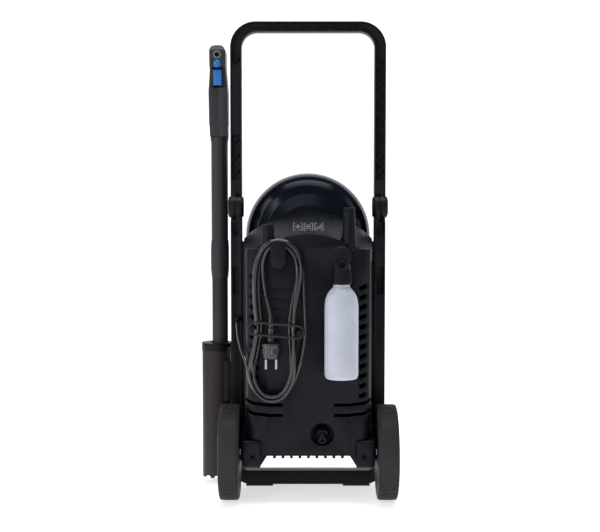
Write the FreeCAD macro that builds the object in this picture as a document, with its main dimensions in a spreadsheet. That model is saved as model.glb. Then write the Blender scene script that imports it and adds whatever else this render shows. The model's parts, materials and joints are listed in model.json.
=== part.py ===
"""Electric pressure washer on a two-wheeled trolley, as an assembly of separate pieces.

+Z is up, -Y is the working front with the hose reel, +Y is the back with the cord and the bottle.
Every piece is drawn from the machine's own datum (the centre plane, the wheel axle's plane and the floor) and
its Placement carries the shift that brings the whole machine over the origin.
"""
import FreeCAD, Part
import math
import os
import re
import Sketcher
from FreeCAD import Placement, Rotation, Vector

doc = FreeCAD.newDocument("pressure_washer")
sheet = doc.addObject("Spreadsheet::Sheet", "dims")

SIZES = {
    # shift from the machine's datum to the origin
    "shift_x": -21.5, "shift_y": 66,
    # trolley frame
    "rail_front": -124, "rail_back": -94, "rail_outer": 153, "rail_inner": 131, "rail_top": 531, "rail_low": 44,
    "bar_low": 4, "bar_top": 31, "ring_round": 40, "pad_in": 70, "pad_out": 124,
    "slot_half": 7, "slot_deep": 14, "oval_low": 502, "oval_top": 532, "long_low": 386, "long_top": 442,
    # push handle and its hinge
    "handle_top": 922, "handle_bar": 20, "handle_low": 586, "handle_round": 50, "handle_round_in": 31,
    "channel_deep": 9, "channel_wall": 3, "channel_low": 612,
    "hinge_level": 559, "hinge_mid": 142, "eye_rad": 25, "eye_gap": 0.3, "eye_fill": 9.5, "pin_rad": 5, "pin_head": 3,
    "pin_play": 0.05,
    "knob_rad": 21, "knob_thick": 4, "knob_rib": 0.8,
    # wheels and axle
    "wheel_rad": 91, "wheel_in": 131, "wheel_out": 169, "hub_rad": 17, "dish_rad": 66, "dish_deep": 9,
    "axle_rad": 6, "clip_rad": 9, "clip_thick": 1.5,
    # axle brackets
    "pod_in": 91, "pod_out": 122.7, "pod_back": 48, "pod_front": -60, "pod_low": 68, "pod_top": 122, "pod_ear": 13,
    "arm_in": 123, "arm_low": 60, "arm_top": 122, "screw_mid": 105.5, "screw_level": 93, "screw_rad": 3.6,
    "screw_deep": 9,
    # body shell
    "wall": 3, "body_low": 93, "seam": -85, "seam_half": 126, "seam_side": 497, "seam_arc": 174,
    "back": 45, "back_half": 118, "back_side": 450, "back_arc": 146,
    "column_mid": 98, "column_rad": 20, "column_back": 22, "column_top": 482, "corner_in": 78.5,
    "notch_half": 90.5, "notch_top": 123, "seam_gap": 0.5,
    "front_half": 122, "front_face": -180, "front_top": 470, "flange_low": 124,
    "louvre_pitch": 18.5, "louvre_low": 217, "louvre_tall": 8, "louvre_deep": 2,
    "foot_slot_low": 167, "foot_slot_pitch": 19.5,
    "tooth_wide": 5.5, "tooth_tall": 5, "tooth_pitch": 16,
    # water inlet
    "inlet_mid": -26, "inlet_half": 22, "inlet_level": 134, "inlet_deep": 25, "liner": 2.5,
    "hex_rad": 14, "hex_long": 12, "nipple_rad": 8.5, "nipple_long": 15, "nipple_bore": 3.8, "inlet_tilt": 28,
    # reel tub and reel
    "reel_level": 501, "tub_rad": 126, "tub_back": -88, "tub_rear_rad": 96, "tub_round": -150, "tub_rim": -206,
    "core_rad": 55, "rear_flange_rad": 86, "front_flange_rad": 118, "drum_rear": -112, "drum_front": -199,
    "flange_thick": 4, "reel_axle_rad": 9, "crank_in": 20, "crank_out": 96, "crank_wide": 22, "crank_thick": 8,
    "crank_face": -216, "crank_knob_rad": 12, "crank_knob_long": 34,
    # pegs, hook, strap
    "peg_mid": 76, "peg_back": 30, "peg_rad": 9, "peg_low": 486, "seat_low": 478, "seat_rad": 14.6, "spare_seat_rad": 16.2,
    "peg_top": 528, "left_peg_rad": 12,
    "spare_rad": 15, "spare_tip_rad": 10.5, "spare_top": 559, "spare_tip_bore": 3,
    "hook_mid": 56, "hook_level": 474, "hook_stem_rad": 7, "hook_half": 14, "hook_low": 447, "hook_top": 496,
    "hook_face": 66.5, "hook_thick": 4,
    "strap_left": 112.5, "strap_right": 8, "strap_level": 333, "strap_half": 13, "strap_wide": 3.4, "strap_front": 70,
    "strap_thick": 4, "strap_slope": 5, "strap_peg_rad": 4,
    # mains lead
    "cord_rad": 3.6, "gland_rad": 6.5, "gland_level": 336, "gland_mid": 139, "gland_long": 12,
    "hank_left": 112, "hank_right": 9, "hank_low": 195, "hank_top": 504, "hank_wide": 22, "hank_back": 49,
    "hank_thick": 16, "hank_round": 44,
    "plug_mid": 69.5, "plug_back": 61.5, "plug_rad": 16, "plug_low": 279, "plug_top": 309, "relief_top": 356,
    "relief_rad": 5.5, "pin_long": 19, "pin_thin": 2.4, "pin_space": 9.5,
    # foam bottle
    "foam_mid": -60, "foam_back": 85, "bottle_rad": 31, "bottle_low": 246.5, "bottle_shoulder": 386,
    "neck_rad": 15, "bottle_top": 430, "skin": 1.5, "collar_low": 420, "collar_top": 458, "collar_rad": 18,
    "collar_top_rad": 16, "head_level": 472, "head_rad": 19.5, "head_front": 58, "head_face": 103, "spray_level": 457,
    "spray_rad": 9, "spray_bore": 5.5, "spray_face": 111, "bottle_peg_rad": 8,
    # lance, holder and gun
    "lance_x": 177.5, "lance_y": -140, "holder_rad": 30, "holder_wall": 3, "holder_low": 12, "holder_top": 270,
    "holder_x": 184, "collar_high": 285, "collar_bore": 20,
    "tip_low": 18, "lower_low": 40, "lower_rad": 16, "sleeve_low": 415, "sleeve_top": 492, "sleeve_rad": 18.4,
    "tube_rad": 17.4, "tube_top": 699, "gun_half": 18.6, "gun_top_half": 15.3, "gun_top": 876.5,
    "trigger_half": 7.8, "gun_pocket": 8.8,
    # inside
    "shaft_mid": -50, "shaft_rad": 6, "can_rad": 52, "can_wall": 4, "can_low": 245, "can_top": 362,
    "rotor_rad": 40, "rotor_low": 258, "rotor_top": 350, "shaft_low": 206, "shaft_top": 388,
    "fan_rad": 44, "fan_low": 372, "fan_thick": 12, "bearing_rad": 14, "bearing_thick": 9,
    "wobble_rad": 30, "wobble_low": 208, "wobble_thick": 12, "pump_rad": 42, "pump_low": 112, "pump_top": 180,
    "piston_rad": 7, "piston_ring": 22, "piston_low": 140, "piston_top": 211, "piston_play": 0.05, "bore_low": 130,
    "spring_wire": 1.1, "spring_rad": 9.5, "spring_low": 181.5, "spring_high": 205, "spring_pitch": 5,
    "pipe_rad": 5, "outlet_side": 68, "box_half": 45,
    "switch_level": 300, "switch_rad": 26, "switch_thick": 7, "switch_shaft_rad": 5, "switch_play": 0.06,
}

WORD = re.compile(r"\b[a-z_]+\b")


def fill_sheet():
    for row, (alias, value) in enumerate(SIZES.items(), start=1):
        sheet.set(f"A{row}", alias)
        sheet.set(f"B{row}", str(value))
        sheet.setAlias(f"B{row}", alias)
    doc.recompute()


def bound(text):
    """The text with every alias written as the sheet's cell."""
    return WORD.sub(lambda found: f"dims.{found.group(0)}" if found.group(0) in SIZES else found.group(0), str(text))


def value(text):
    """The number that an expression over the sheet's cells stands for."""
    total = sheet.evalExpression(bound(text).replace("dims.", ""))
    return float(getattr(total, "Value", total))


AXES = {"X": Vector(1, 0, 0), "Y": Vector(0, 1, 0), "Z": Vector(0, 0, 1)}


def put(thing, at, axis="Z"):
    """Places a thing at three expressions, with its own Z turned to the axis."""
    thing.Placement = Placement(Vector(), Rotation(AXES["Z"], AXES[axis]))
    for letter, text in zip("xyz", at):
        thing.setExpression(f"Placement.Base.{letter}", bound(text))
    return thing


def block(name, low, high):
    box = doc.addObject("Part::Box", name)
    for side, start, end in zip(("Length", "Width", "Height"), low, high):
        box.setExpression(side, bound(f"({end}) - ({start})"))
    return put(box, low)


def rod(name, axis, start, length, radius):
    cylinder = doc.addObject("Part::Cylinder", name)
    cylinder.setExpression("Radius", bound(radius))
    cylinder.setExpression("Height", bound(length))
    return put(cylinder, start, axis)


def taper(name, axis, start, length, radius, end_radius):
    cone = doc.addObject("Part::Cone", name)
    for side, text in (("Radius1", radius), ("Radius2", end_radius), ("Height", length)):
        cone.setExpression(side, bound(text))
    return put(cone, start, axis)


def cut(name, base, *tools):
    result = doc.addObject("Part::Cut", name)
    result.Base = base
    result.Tool = tools[0] if len(tools) == 1 else fuse(name + "_tools", *tools)
    return result


def fuse(name, *shapes):
    result = doc.addObject("Part::MultiFuse", name)
    result.Shapes = list(shapes)
    result.Refine = True
    return result


def common(name, *shapes):
    result = doc.addObject("Part::MultiCommon", name)
    result.Shapes = list(shapes)
    return result


def group(name, *shapes):
    """Separate solids that share one node."""
    result = doc.addObject("Part::Compound", name)
    result.Links = list(shapes)
    return result


def origin_plane(body, role):
    return next(feature for feature in body.Origin.OriginFeatures if feature.Role == role)


PLANES = {"X": "YZ_Plane", "Y": "XZ_Plane", "Z": "XY_Plane"}


def outline(body, name, axis, points, at=0, arc=None):
    """A closed sketch square to an axis: straight sides between bound points, and one arc after point number
    arc[0] with the radius arc[1]."""
    sketch = body.newObject("Sketcher::SketchObject", name)
    sketch.AttachmentSupport = [(origin_plane(body, PLANES[axis]), "")]
    sketch.MapMode = "FlatFace"
    offset = f"-({at})" if axis == "Y" else at
    sketch.setExpression("AttachmentOffset.Base.z", bound(offset))
    spots = [Vector(value(u), value(v), 0) for u, v in points]
    count = len(spots)
    for index, start in enumerate(spots):
        end = spots[(index + 1) % count]
        if arc and index == arc[0]:
            radius = value(arc[1])
            half = (end - start) * 0.5
            rise = Vector(-half.y, half.x, 0).normalize() * math.sqrt(radius ** 2 - half.Length ** 2)
            centre = start + half + rise
            angles = [math.atan2(spot.y - centre.y, spot.x - centre.x) for spot in (start, end)]
            circle = Part.Circle(centre, AXES["Z"], radius)
            sketch.addGeometry(Part.ArcOfCircle(circle, *angles), False)
        else:
            sketch.addGeometry(Part.LineSegment(start, end), False)
    for index in range(count):
        sketch.addConstraint(Sketcher.Constraint("Coincident", index, 2, (index + 1) % count, 1))
    for index, (u, v) in enumerate(points):
        for kind, text in (("DistanceX", u), ("DistanceY", v)):
            number = sketch.addConstraint(Sketcher.Constraint(kind, -1, 1, index, 1, value(text)))
            sketch.setExpression(f"Constraints[{number}]", bound(text))
    if arc:
        number = sketch.addConstraint(Sketcher.Constraint("Radius", arc[0], value(arc[1])))
        sketch.setExpression(f"Constraints[{number}]", bound(arc[1]))
    return sketch


def edges_at(shape, axis, spot):
    """Names of the straight edges along an axis, or of the circles about it, that pass through a profile point."""
    flat = {"X": lambda p: (p.y, p.z), "Y": lambda p: (p.x, p.z), "Z": lambda p: (p.x, p.y)}
    names = []
    for number, edge in enumerate(shape.Edges, start=1):
        if axis == "turned":
            found = [(math.hypot(vertex.X, vertex.Y), vertex.Z) for vertex in edge.Vertexes]
        else:
            found = [flat[axis](vertex.Point) for vertex in edge.Vertexes]
        if all(math.dist(pair, spot) < 1e-4 for pair in found) and found:
            names.append(f"Edge{number}")
    return names


def round_edges(body, base, axis, points, corners):
    """One Fillet for each radius in corners, a table of point number to radius."""
    spots = {number: (value(points[number][0]), value(points[number][1])) for number in corners}
    for radius in sorted(set(corners.values())):
        doc.recompute()
        names = [name for number, spot in spots.items() if corners[number] == radius
                 for name in edges_at(base.Shape, axis, spot)]
        fillet = body.newObject("PartDesign::Fillet", f"{body.Name}_round_{number_word(radius)}")
        fillet.Base = (base, names)
        fillet.setExpression("Radius", bound(radius))
        base = fillet
    doc.recompute()
    return base


def number_word(text):
    return re.sub(r"\W", "_", str(text))


def prism(name, axis, points, low, high, corners=None, arc=None):
    """A Body: an outline padded along an axis from low to high."""
    body = doc.addObject("PartDesign::Body", name)
    sketch = outline(body, f"{name}_outline", axis, points, high if axis == "Y" else low, arc)
    pad = body.newObject("PartDesign::Pad", f"{name}_pad")
    pad.Profile = sketch
    pad.setExpression("Length", bound(f"({high}) - ({low})"))
    sketch.Visibility = False
    if corners:
        round_edges(body, pad, axis, points, corners)
    return body


def turned(name, axis, at, points, corners=None):
    """A Body: a profile of (radius, height) points turned about an axis that starts at a place."""
    body = doc.addObject("PartDesign::Body", name)
    sketch = outline(body, f"{name}_profile", "Y", points)
    turn = body.newObject("PartDesign::Revolution", f"{name}_turn")
    turn.Profile = sketch
    turn.ReferenceAxis = (sketch, ["V_Axis"])
    turn.Angle = 360
    if corners:
        round_edges(body, turn, "turned", points, corners)
    return put(body, at, axis)


def rectangle(low, high):
    (left, bottom), (right, top) = low, high
    return [(left, bottom), (right, bottom), (right, top), (left, top)]


def helix_spring(name, at, low, high, radius, wire, pitch, turn="Z"):
    """A coil spring swept along a helix; its Shape is set here, because a Body has no open coil of its own."""
    tall = value(high) - value(low)
    coil = Part.makeHelix(value(pitch), tall, value(radius))
    start = Vector(value(radius), 0, 0)
    section = Part.Wire(Part.makeCircle(value(wire), start, Vector(0, 1, 0)))
    feature = doc.addObject("Part::Feature", name)
    feature.Shape = Part.Wire(coil.Edges).makePipeShell([section], True, True)
    return put(feature, (at[0], at[1], low), turn)


NODES = []


def keep(node):
    """Shifts a finished sub-part from the machine's datum to the origin and lists it for writing."""
    for letter in "xy":
        path = f"Placement.Base.{letter}"
        given = dict((key.lstrip("."), text) for key, text in node.ExpressionEngine).get(path, "0")
        node.setExpression(path, f"({given}) + dims.shift_{letter}")
    NODES.append(node)
    return node


# ---------------------------------------------------------------- trolley frame

def eye_filler(name, left, right, low, high):
    """Block that follows the other half's eye, so that the hinge shows no gap."""
    middle = "0.5*(rail_front + rail_back)"
    body = block(f"{name}_filler", (left, f"{middle} - eye_fill", low), (right, f"{middle} + eye_fill", high))
    room = rod(f"{name}_filler_room", "X", (f"{left} - 1", middle, "hinge_level"), "rail_outer - rail_inner",
               "eye_rad + 0.5")
    return cut(f"{name}_filler_cut", body, room)


def side_rail(side, sign):
    """Upright with an eye for the handle's hinge and two blind slots in its back face."""
    def across(a, b):
        return (a, b) if sign > 0 else (f"-({b})", f"-({a})")
    left, right = across("rail_inner", "rail_outer")
    eye_left, eye_right = across("rail_inner", "hinge_mid - 0.5*eye_gap")
    name = f"side_rail_{side}"
    post = block(f"{name}_post", (left, "rail_front", "rail_low"), (right, "rail_back", "rail_top"))
    neck = block(f"{name}_neck", (eye_left, "rail_front", "rail_top"), (eye_right, "rail_back", "hinge_level"))
    middle = "0.5*(rail_front + rail_back)"
    eye = rod(f"{name}_eye", "X", (eye_left, middle, "hinge_level"), "hinge_mid - 0.5*eye_gap - rail_inner", "eye_rad")
    fill_left, fill_right = across("hinge_mid + 0.5*eye_gap", "rail_outer")
    whole = fuse(f"{name}_whole", post, neck, eye, eye_filler(name, fill_left, fill_right, "rail_top - 1", "hinge_level - 20"))
    pin_hole = rod(f"{name}_pin_hole", "X", (eye_left, middle, "hinge_level"), "rail_outer", "pin_rad")
    tools = [pin_hole]
    slot_mid = f"{sign}*0.5*(rail_inner + rail_outer)"
    for label, low, high in (("oval", "oval_low", "oval_top - 2"), ("long", "long_low", "long_top")):
        points = rectangle((f"{slot_mid} - slot_half", low), (f"{slot_mid} + slot_half", high))
        tools.append(prism(f"{name}_{label}", "Y", points, "rail_back - slot_deep", "rail_back + 1",
                           {number: "slot_half - 0.5" for number in range(4)}))
    keep(cut(name, whole, *tools))


def foot_bar():
    """The low cross bar with its turned-up ends, square with the rails that stand on them."""
    points = [("-rail_outer", "bar_low"), ("rail_outer", "bar_low"), ("rail_outer", "rail_low"),
              ("rail_inner", "rail_low"), ("rail_inner", "bar_top"), ("-rail_inner", "bar_top"),
              ("-rail_inner", "rail_low"), ("-rail_outer", "rail_low")]
    corners = {0: "ring_round - 1", 1: "ring_round - 1", 4: "12", 5: "12"}
    keep(prism("foot_bar", "Y", points, "rail_front", "rail_back", corners))
    pads = []
    for index, sign in enumerate((1, -1)):
        left, right = ("pad_in", "pad_out") if sign > 0 else ("-pad_out", "-pad_in")
        pads.append(block(f"pad_{index}", (left, "rail_front + 2", "0"), (right, "rail_back - 2", "bar_low")))
    keep(group("foot_pads", *pads))


def handle_outline(outer, inner, top, under, low):
    """The U of the handle, from its left foot round to its right foot."""
    return [(f"-({outer})", low), (f"-({inner})", low), (f"-({inner})", under), (inner, under), (inner, low),
            (outer, low), (outer, top), (f"-({outer})", top)]


def push_handle():
    """U-shaped grip with an open channel in its back face and two hinge eyes."""
    corners = {2: "handle_round_in", 3: "handle_round_in", 6: "handle_round", 7: "handle_round"}
    points = handle_outline("rail_outer", "rail_inner", "handle_top", "handle_top - handle_bar", "handle_low")
    frame = prism("handle_frame", "Y", points, "rail_front", "rail_back", corners)
    inset = handle_outline("rail_outer - channel_wall", "rail_inner + channel_wall", "handle_top - channel_wall",
                           "handle_top - handle_bar + channel_wall", "channel_low")
    inner_corners = {2: "handle_round_in + channel_wall", 3: "handle_round_in + channel_wall",
                     6: "handle_round - channel_wall", 7: "handle_round - channel_wall"}
    channel = prism("handle_channel", "Y", inset, "rail_back - channel_deep", "rail_back + 1", inner_corners)
    middle = "0.5*(rail_front + rail_back)"
    solids, holes = [cut("handle_channelled", frame, channel)], []
    for side, sign in (("left", 1), ("right", -1)):
        low, high = "hinge_mid + 0.5*eye_gap", "rail_outer"
        left, right = (low, high) if sign > 0 else (f"-({high})", f"-({low})")
        solids.append(block(f"handle_neck_{side}", (left, "rail_front", "hinge_level"),
                            (right, "rail_back", "handle_low")))
        solids.append(rod(f"handle_eye_{side}", "X", (left, middle, "hinge_level"), f"({high}) - ({low})", "eye_rad"))
        fill_low, fill_high = "rail_inner", "hinge_mid - 0.5*eye_gap"
        fill = (fill_low, fill_high) if sign > 0 else (f"-({fill_high})", f"-({fill_low})")
        solids.append(eye_filler(f"handle_{side}", *fill, "hinge_level + 20", "handle_low + 1"))
        holes.append(rod(f"handle_hole_{side}", "X", (f"{left} - 1", middle, "hinge_level"),
                         "rail_outer - hinge_mid + 2", "pin_rad + pin_play"))
    keep(cut("push_handle", fuse("handle_whole", *solids), *holes))


def hinge_hardware():
    """Pins through both hinge eyes, and the ribbed knobs that clamp them."""
    middle = "0.5*(rail_front + rail_back)"
    knob_start, knob_end = "rail_outer + eye_gap", "rail_outer + eye_gap + knob_thick"
    pins = []
    for side, sign in (("left", 1), ("right", -1)):
        pin_low, pin_high = ("rail_inner", knob_end) if sign > 0 else (f"-({knob_end})", "-rail_inner")
        shaft = rod(f"pin_{side}", "X", (pin_low, middle, "hinge_level"), f"({knob_end}) - rail_inner", "pin_rad")
        head_low = "-rail_inner" if sign < 0 else "rail_inner - pin_head"
        head = rod(f"pin_head_{side}", "X", (head_low, middle, "hinge_level"), "pin_head", "knob_rad - 1")
        pins.append(fuse(f"headed_pin_{side}", shaft, head))
        name = f"lock_knob_{side}"
        points = [("pin_rad + pin_play", "0"), ("knob_rad", "0"), ("knob_rad", "knob_thick - 2"),
                  ("knob_rad - 2", "knob_thick"), ("pin_rad + pin_play", "knob_thick")]
        start = knob_start if sign > 0 else f"-({knob_start})"
        knob = turned(f"{name}_disc", "X", (start, middle, "hinge_level"), points)
        if sign < 0:
            knob.Placement = Placement(Vector(), Rotation(AXES["Z"], Vector(-1, 0, 0)))
        ribs = []
        face = f"{sign}*({knob_end})"
        low, high = (face, f"{face} + knob_rib") if sign > 0 else (f"{face} - knob_rib", face)
        for index in (-2, -1, 1, 2):
            ribs.append(block(f"{name}_rib_{index + 2}", (low, f"{middle} + {index}*5.5 - 1", "hinge_level - 14"),
                              (high, f"{middle} + {index}*5.5 + 1", "hinge_level + 14")))
        keep(fuse(name, knob, *ribs))
    keep(group("hinge_pins", *pins))


# ---------------------------------------------------------------- wheels

def wheel(side, sign):
    """A solid tyre and disc in one, dished on the outside, with a bore that runs on the axle."""
    bore = "axle_rad + pin_play"
    wide = "wheel_out - wheel_in"
    points = [(bore, "0"), ("wheel_rad", "0"), ("wheel_rad", wide), ("dish_rad", wide),
              ("dish_rad", f"{wide} - dish_deep"), ("hub_rad + 8", f"{wide} - dish_deep"), ("hub_rad + 8", wide),
              (bore, wide)]
    start = "wheel_in" if sign > 0 else "-wheel_in"
    body = turned(f"wheel_{side}", "X", (start, "0", "wheel_rad"), points, {1: "5", 2: "9"})
    if sign < 0:
        body.Placement = Placement(Vector(), Rotation(AXES["Z"], Vector(-1, 0, 0)))
    keep(body)


def axle_parts():
    """Two stub axles, a spring clip on each outer end, and the bracket that each one is pressed into."""
    stub = "wheel_out + clip_thick + 1.5 - pod_in"
    keep(group("axle", *(rod(f"axle_stub_{index}", "X", (start, "0", "wheel_rad"), stub, "axle_rad")
                         for index, start in enumerate(("pod_in", f"-pod_in - ({stub})")))))
    clips = []
    for index, start in enumerate(("wheel_out + 0.3", "-wheel_out - 0.3 - clip_thick")):
        ring = rod(f"clip_{index}", "X", (start, "0", "wheel_rad"), "clip_thick", "clip_rad")
        hole = rod(f"clip_hole_{index}", "X", (f"{start} - 1", "0", "wheel_rad"), "clip_thick + 2", "axle_rad")
        clips.append(cut(f"clip_ring_{index}", ring, hole))
    keep(group("axle_clips", *clips))
    screws = []
    for side, sign in (("left", 1), ("right", -1)):
        def across(a, b):
            return (a, b) if sign > 0 else (f"-({b})", f"-({a})")
        name = f"axle_bracket_{side}"
        pod_left, pod_right = across("pod_in", "pod_out")
        arm_left, arm_right = across("arm_in - 0.5", "rail_inner")
        outer = [("pod_front", "pod_low + 30"), ("pod_front + 30", "pod_low"), ("pod_back", "pod_low"),
                 ("pod_back", "pod_top"), ("pod_front", "pod_top")]
        pod = prism(f"{name}_pod", "X", outer, pod_left, pod_right, {2: "12", 3: "6"})
        ear_tip, ear_root = f"{sign}*(pod_in - pod_ear)", f"{sign}*(pod_in + 1)"
        ear = prism(f"{name}_ear", "Y", [(ear_tip, "body_low - 0.5"), (ear_root, "pod_low + 2"),
                                         (ear_root, "body_low - 0.5")], "0", "pod_back - 6")
        spacer = rod(f"{name}_spacer", "X", (arm_left, "0", "wheel_rad"), "rail_inner - arm_in - 1.5", "hub_rad")
        if sign < 0:
            spacer.setExpression("Placement.Base.x", bound("-(rail_inner - 2)"))
        arm_low, arm_high = across("arm_in - 0.5", "rail_inner")
        arm = block(f"{name}_arm", (arm_low, "rail_front + 4", "arm_low"), (arm_high, "rail_back", "arm_top"))
        strut_low, strut_high = across("arm_in - 0.5", "arm_in + 4")
        strut = block(f"{name}_strut", (strut_low, "rail_back - 1", "arm_low + 8"), (strut_high, "20", "arm_top"))
        hole = rod(f"{name}_hole", "X", (pod_left, "0", "wheel_rad"), "60", "axle_rad")
        hole.setExpression("Placement.Base.x", bound(f"{pod_left} - 10"))
        screw_mid = (f"{sign}*screw_mid", "pod_back - screw_deep", "screw_level")
        well = rod(f"{name}_well", "Y", screw_mid, "screw_deep + 1", "screw_rad + 1")
        keep(cut(name, fuse(f"{name}_whole", pod, ear, spacer, arm, strut), hole, well))
        head = rod(f"{name}_screw_head", "Y", screw_mid, "3", "screw_rad")
        socket_start = (screw_mid[0], "pod_back - screw_deep + 1", screw_mid[2])
        screws.append(cut(f"{name}_screw", head, rod(f"{name}_socket", "Y", socket_start, "3", "screw_rad - 1.6")))
    keep(group("bracket_screws", *screws))


# ---------------------------------------------------------------- body shells

def tombstone(inset):
    """The body's round-topped outline at the seam and at the back, each drawn in by a wall."""
    seam = [(f"-(seam_half - {inset})", f"body_low + {inset}"), (f"seam_half - {inset}", f"body_low + {inset}"),
            (f"seam_half - {inset}", f"seam_side - {inset}"), (f"-(seam_half - {inset})", f"seam_side - {inset}")]
    back = [(f"-(back_half - {inset})", f"body_low + {inset}"), (f"back_half - {inset}", f"body_low + {inset}"),
            (f"back_half - {inset}", f"back_side - {inset}"), (f"-(back_half - {inset})", f"back_side - {inset}")]
    return seam, back


def hull(name, inset, front, back):
    """Loft between the two outlines, which lean towards each other from the seam to the back."""
    seam_points, back_points = tombstone(inset)
    body = doc.addObject("PartDesign::Body", name)
    first = outline(body, f"{name}_seam", "Y", seam_points, front, (2, f"seam_arc - {inset}"))
    last = outline(body, f"{name}_back", "Y", back_points, back, (2, f"back_arc - {inset}"))
    loft = body.newObject("PartDesign::AdditiveLoft", f"{name}_loft")
    loft.Profile = first
    loft.Sections = [last]
    loft.Ruled = True
    return body


def rear_corners(name, inset):
    """Blocks that clear the hull's back corners, where the round columns stand instead."""
    tools = []
    for index, sign in enumerate((1, -1)):
        low, high = (f"corner_in - {inset}", "seam_half + 9") if sign > 0 else ("-seam_half - 9", f"-corner_in + {inset}")
        tools.append(block(f"{name}_corner_{index}", (low, f"column_back - {inset}", "0"),
                           (high, "back + 9", "column_top + 80")))
    return tools


def columns(name, inset):
    """The round corners, each with the flat strip that joins it to the back panel."""
    parts = []
    for index, sign in enumerate((1, -1)):
        parts.append(rod(f"{name}_column_{index}", "Z", (f"{sign}*column_mid", "column_back", f"notch_top + {inset}"),
                         f"column_top - notch_top - 2*({inset})", f"column_rad - {inset}"))
        near, far = f"corner_in - {inset} - 1", "column_mid"
        left, right = (near, far) if sign > 0 else (f"-({far})", f"-({near})")
        parts.append(block(f"{name}_strip_{index}", (left, f"column_back - {inset} - 1", f"body_low + {inset}"),
                           (right, f"column_back + column_rad - {inset}", f"column_top - {inset}")))
    return parts


def louvres():
    """Slanted blind slots down both columns, level slots in the middle and curved ones at the foot."""
    tools = []
    for sign in (1, -1):
        for index in range(12):
            slot = block(f"louvre_{index}_{sign + 1}", ("0", "0", "0"), ("column_rad", "12", "louvre_tall"))
            slot.Placement = Placement(Vector(), Rotation(AXES["Y"], -24 * sign))
            start = "column_mid - 3" if sign > 0 else "-(column_mid - 3) - column_rad"
            lift = "0" if sign > 0 else "-8"
            for letter, text in zip("xyz", (start, "column_back + column_rad - 6",
                                            f"louvre_low + {index}*louvre_pitch + {lift}")):
                slot.setExpression(f"Placement.Base.{letter}", bound(text))
            tools.append(slot)
        for index in range(4):
            low = f"352 + {index}*louvre_pitch"
            left, right = ("50", "68") if sign > 0 else ("-96 + 28", "-50")
            tools.append(block(f"mid_slot_{index}_{sign + 1}", (left, "back - louvre_deep", low),
                               (right, "back + 1", f"{low} + 7")))
        for index in range(2):
            low = f"foot_slot_low + {index}*foot_slot_pitch"
            edge = [(48, 0), (78, 0), (104, 3), (120, 9)]
            points = [(f"{sign * x}", f"{low} + {rise}") for x, rise in edge]
            points += [(f"{sign * x}", f"{low} + {rise} + 6") for x, rise in reversed(edge)]
            tools.append(prism(f"foot_slot_{index}_{sign + 1}", "Y", points, "column_back - 6", "back + 1"))
    return tools


def moulded_pegs():
    """Headed pegs moulded on the shell: two for the elastic strap and a stouter one for the foam bottle's head."""
    pegs = []
    for index, (middle, level, start) in enumerate((("strap_right + 8", "strap_level - 4.3", "back - 1"),
                                                    ("strap_left - 8", "strap_level + 4", "column_back + 16"))):
        face = "strap_front + strap_thick + 0.5"
        pegs.append(rod(f"strap_post_{index}", "Y", (middle, start, level), f"{face} + 1 - ({start})", "strap_peg_rad"))
        pegs.append(rod(f"strap_head_{index}", "Y", (middle, face, level), "3", "strap_peg_rad + 1.5"))
    pegs.append(rod("bottle_peg", "Y", ("foam_mid", "back - 1", "head_level"), "head_front + 14 - back",
                    "bottle_peg_rad"))
    pegs.append(rod("bottle_peg_plate", "Y", ("foam_mid", "back - 1", "head_level"), "5", "bottle_peg_rad + 8"))
    return pegs


def rear_housing():
    """Back shell: panel, two round columns, sloping shoulder, inlet recess and the teeth of its lower edge."""
    outer = cut("rear_hull_cut", hull("rear_hull", "0", "seam", "back"), *rear_corners("rear", "0"))
    liner = rod("inlet_liner", "Y", ("inlet_mid", "back - inlet_deep - liner", "inlet_level"),
                "inlet_deep + liner - 1", "inlet_half + liner")
    inner = cut("rear_room_cut", hull("rear_room", "wall", "seam + wall", "back - wall"),
                *rear_corners("rear_room", "wall"))
    room = cut("rear_room_whole", fuse("rear_rooms", inner, *columns("rear_room", "wall")), liner)
    mouth = block("rear_mouth", ("-(seam_half - 2*wall)", "seam - 1", "body_low + wall"),
                  ("seam_half - 2*wall", "seam + wall + 1", "448"))
    recess = rod("inlet_recess", "Y", ("inlet_mid", "back - inlet_deep", "inlet_level"), "inlet_deep + 1",
                 "inlet_half")
    notches = []
    for index, sign in enumerate((1, -1)):
        low, high = ("notch_half", "seam_half + 9") if sign > 0 else ("-seam_half - 9", "-notch_half")
        notches.append(block(f"rear_notch_{index}", (low, "seam - 1", "0"), (high, "back + 9", "notch_top")))
    teeth = [block(f"tooth_{index}", (f"{index - 4}*tooth_pitch - 0.5*tooth_wide", "back - 40", "body_low - tooth_tall"),
                   (f"{index - 4}*tooth_pitch + 0.5*tooth_wide", "back - 2", "body_low")) for index in range(9)]
    seats = [rod(f"peg_seat_{index}", "Z", (middle, "peg_back", "seat_low"), "200", radius)
             for index, (middle, radius) in enumerate((("peg_mid", "seat_rad"), ("-peg_mid", "spare_seat_rad")))]
    holes = [rod("hook_hole", "Y", ("hook_mid", "back - wall - 9", "hook_level"), "20", "hook_stem_rad + pin_play"),
             rod("outlet_hole", "Y", ("0", "seam - 9", "reel_level"), "20", "pipe_rad + 0.3")]
    solid = fuse("rear_solid", outer, *columns("rear", "0"), *teeth, *moulded_pegs())
    keep(cut("rear_housing", solid, room, mouth, recess, *notches, *seats, *holes, *louvres()))


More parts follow.
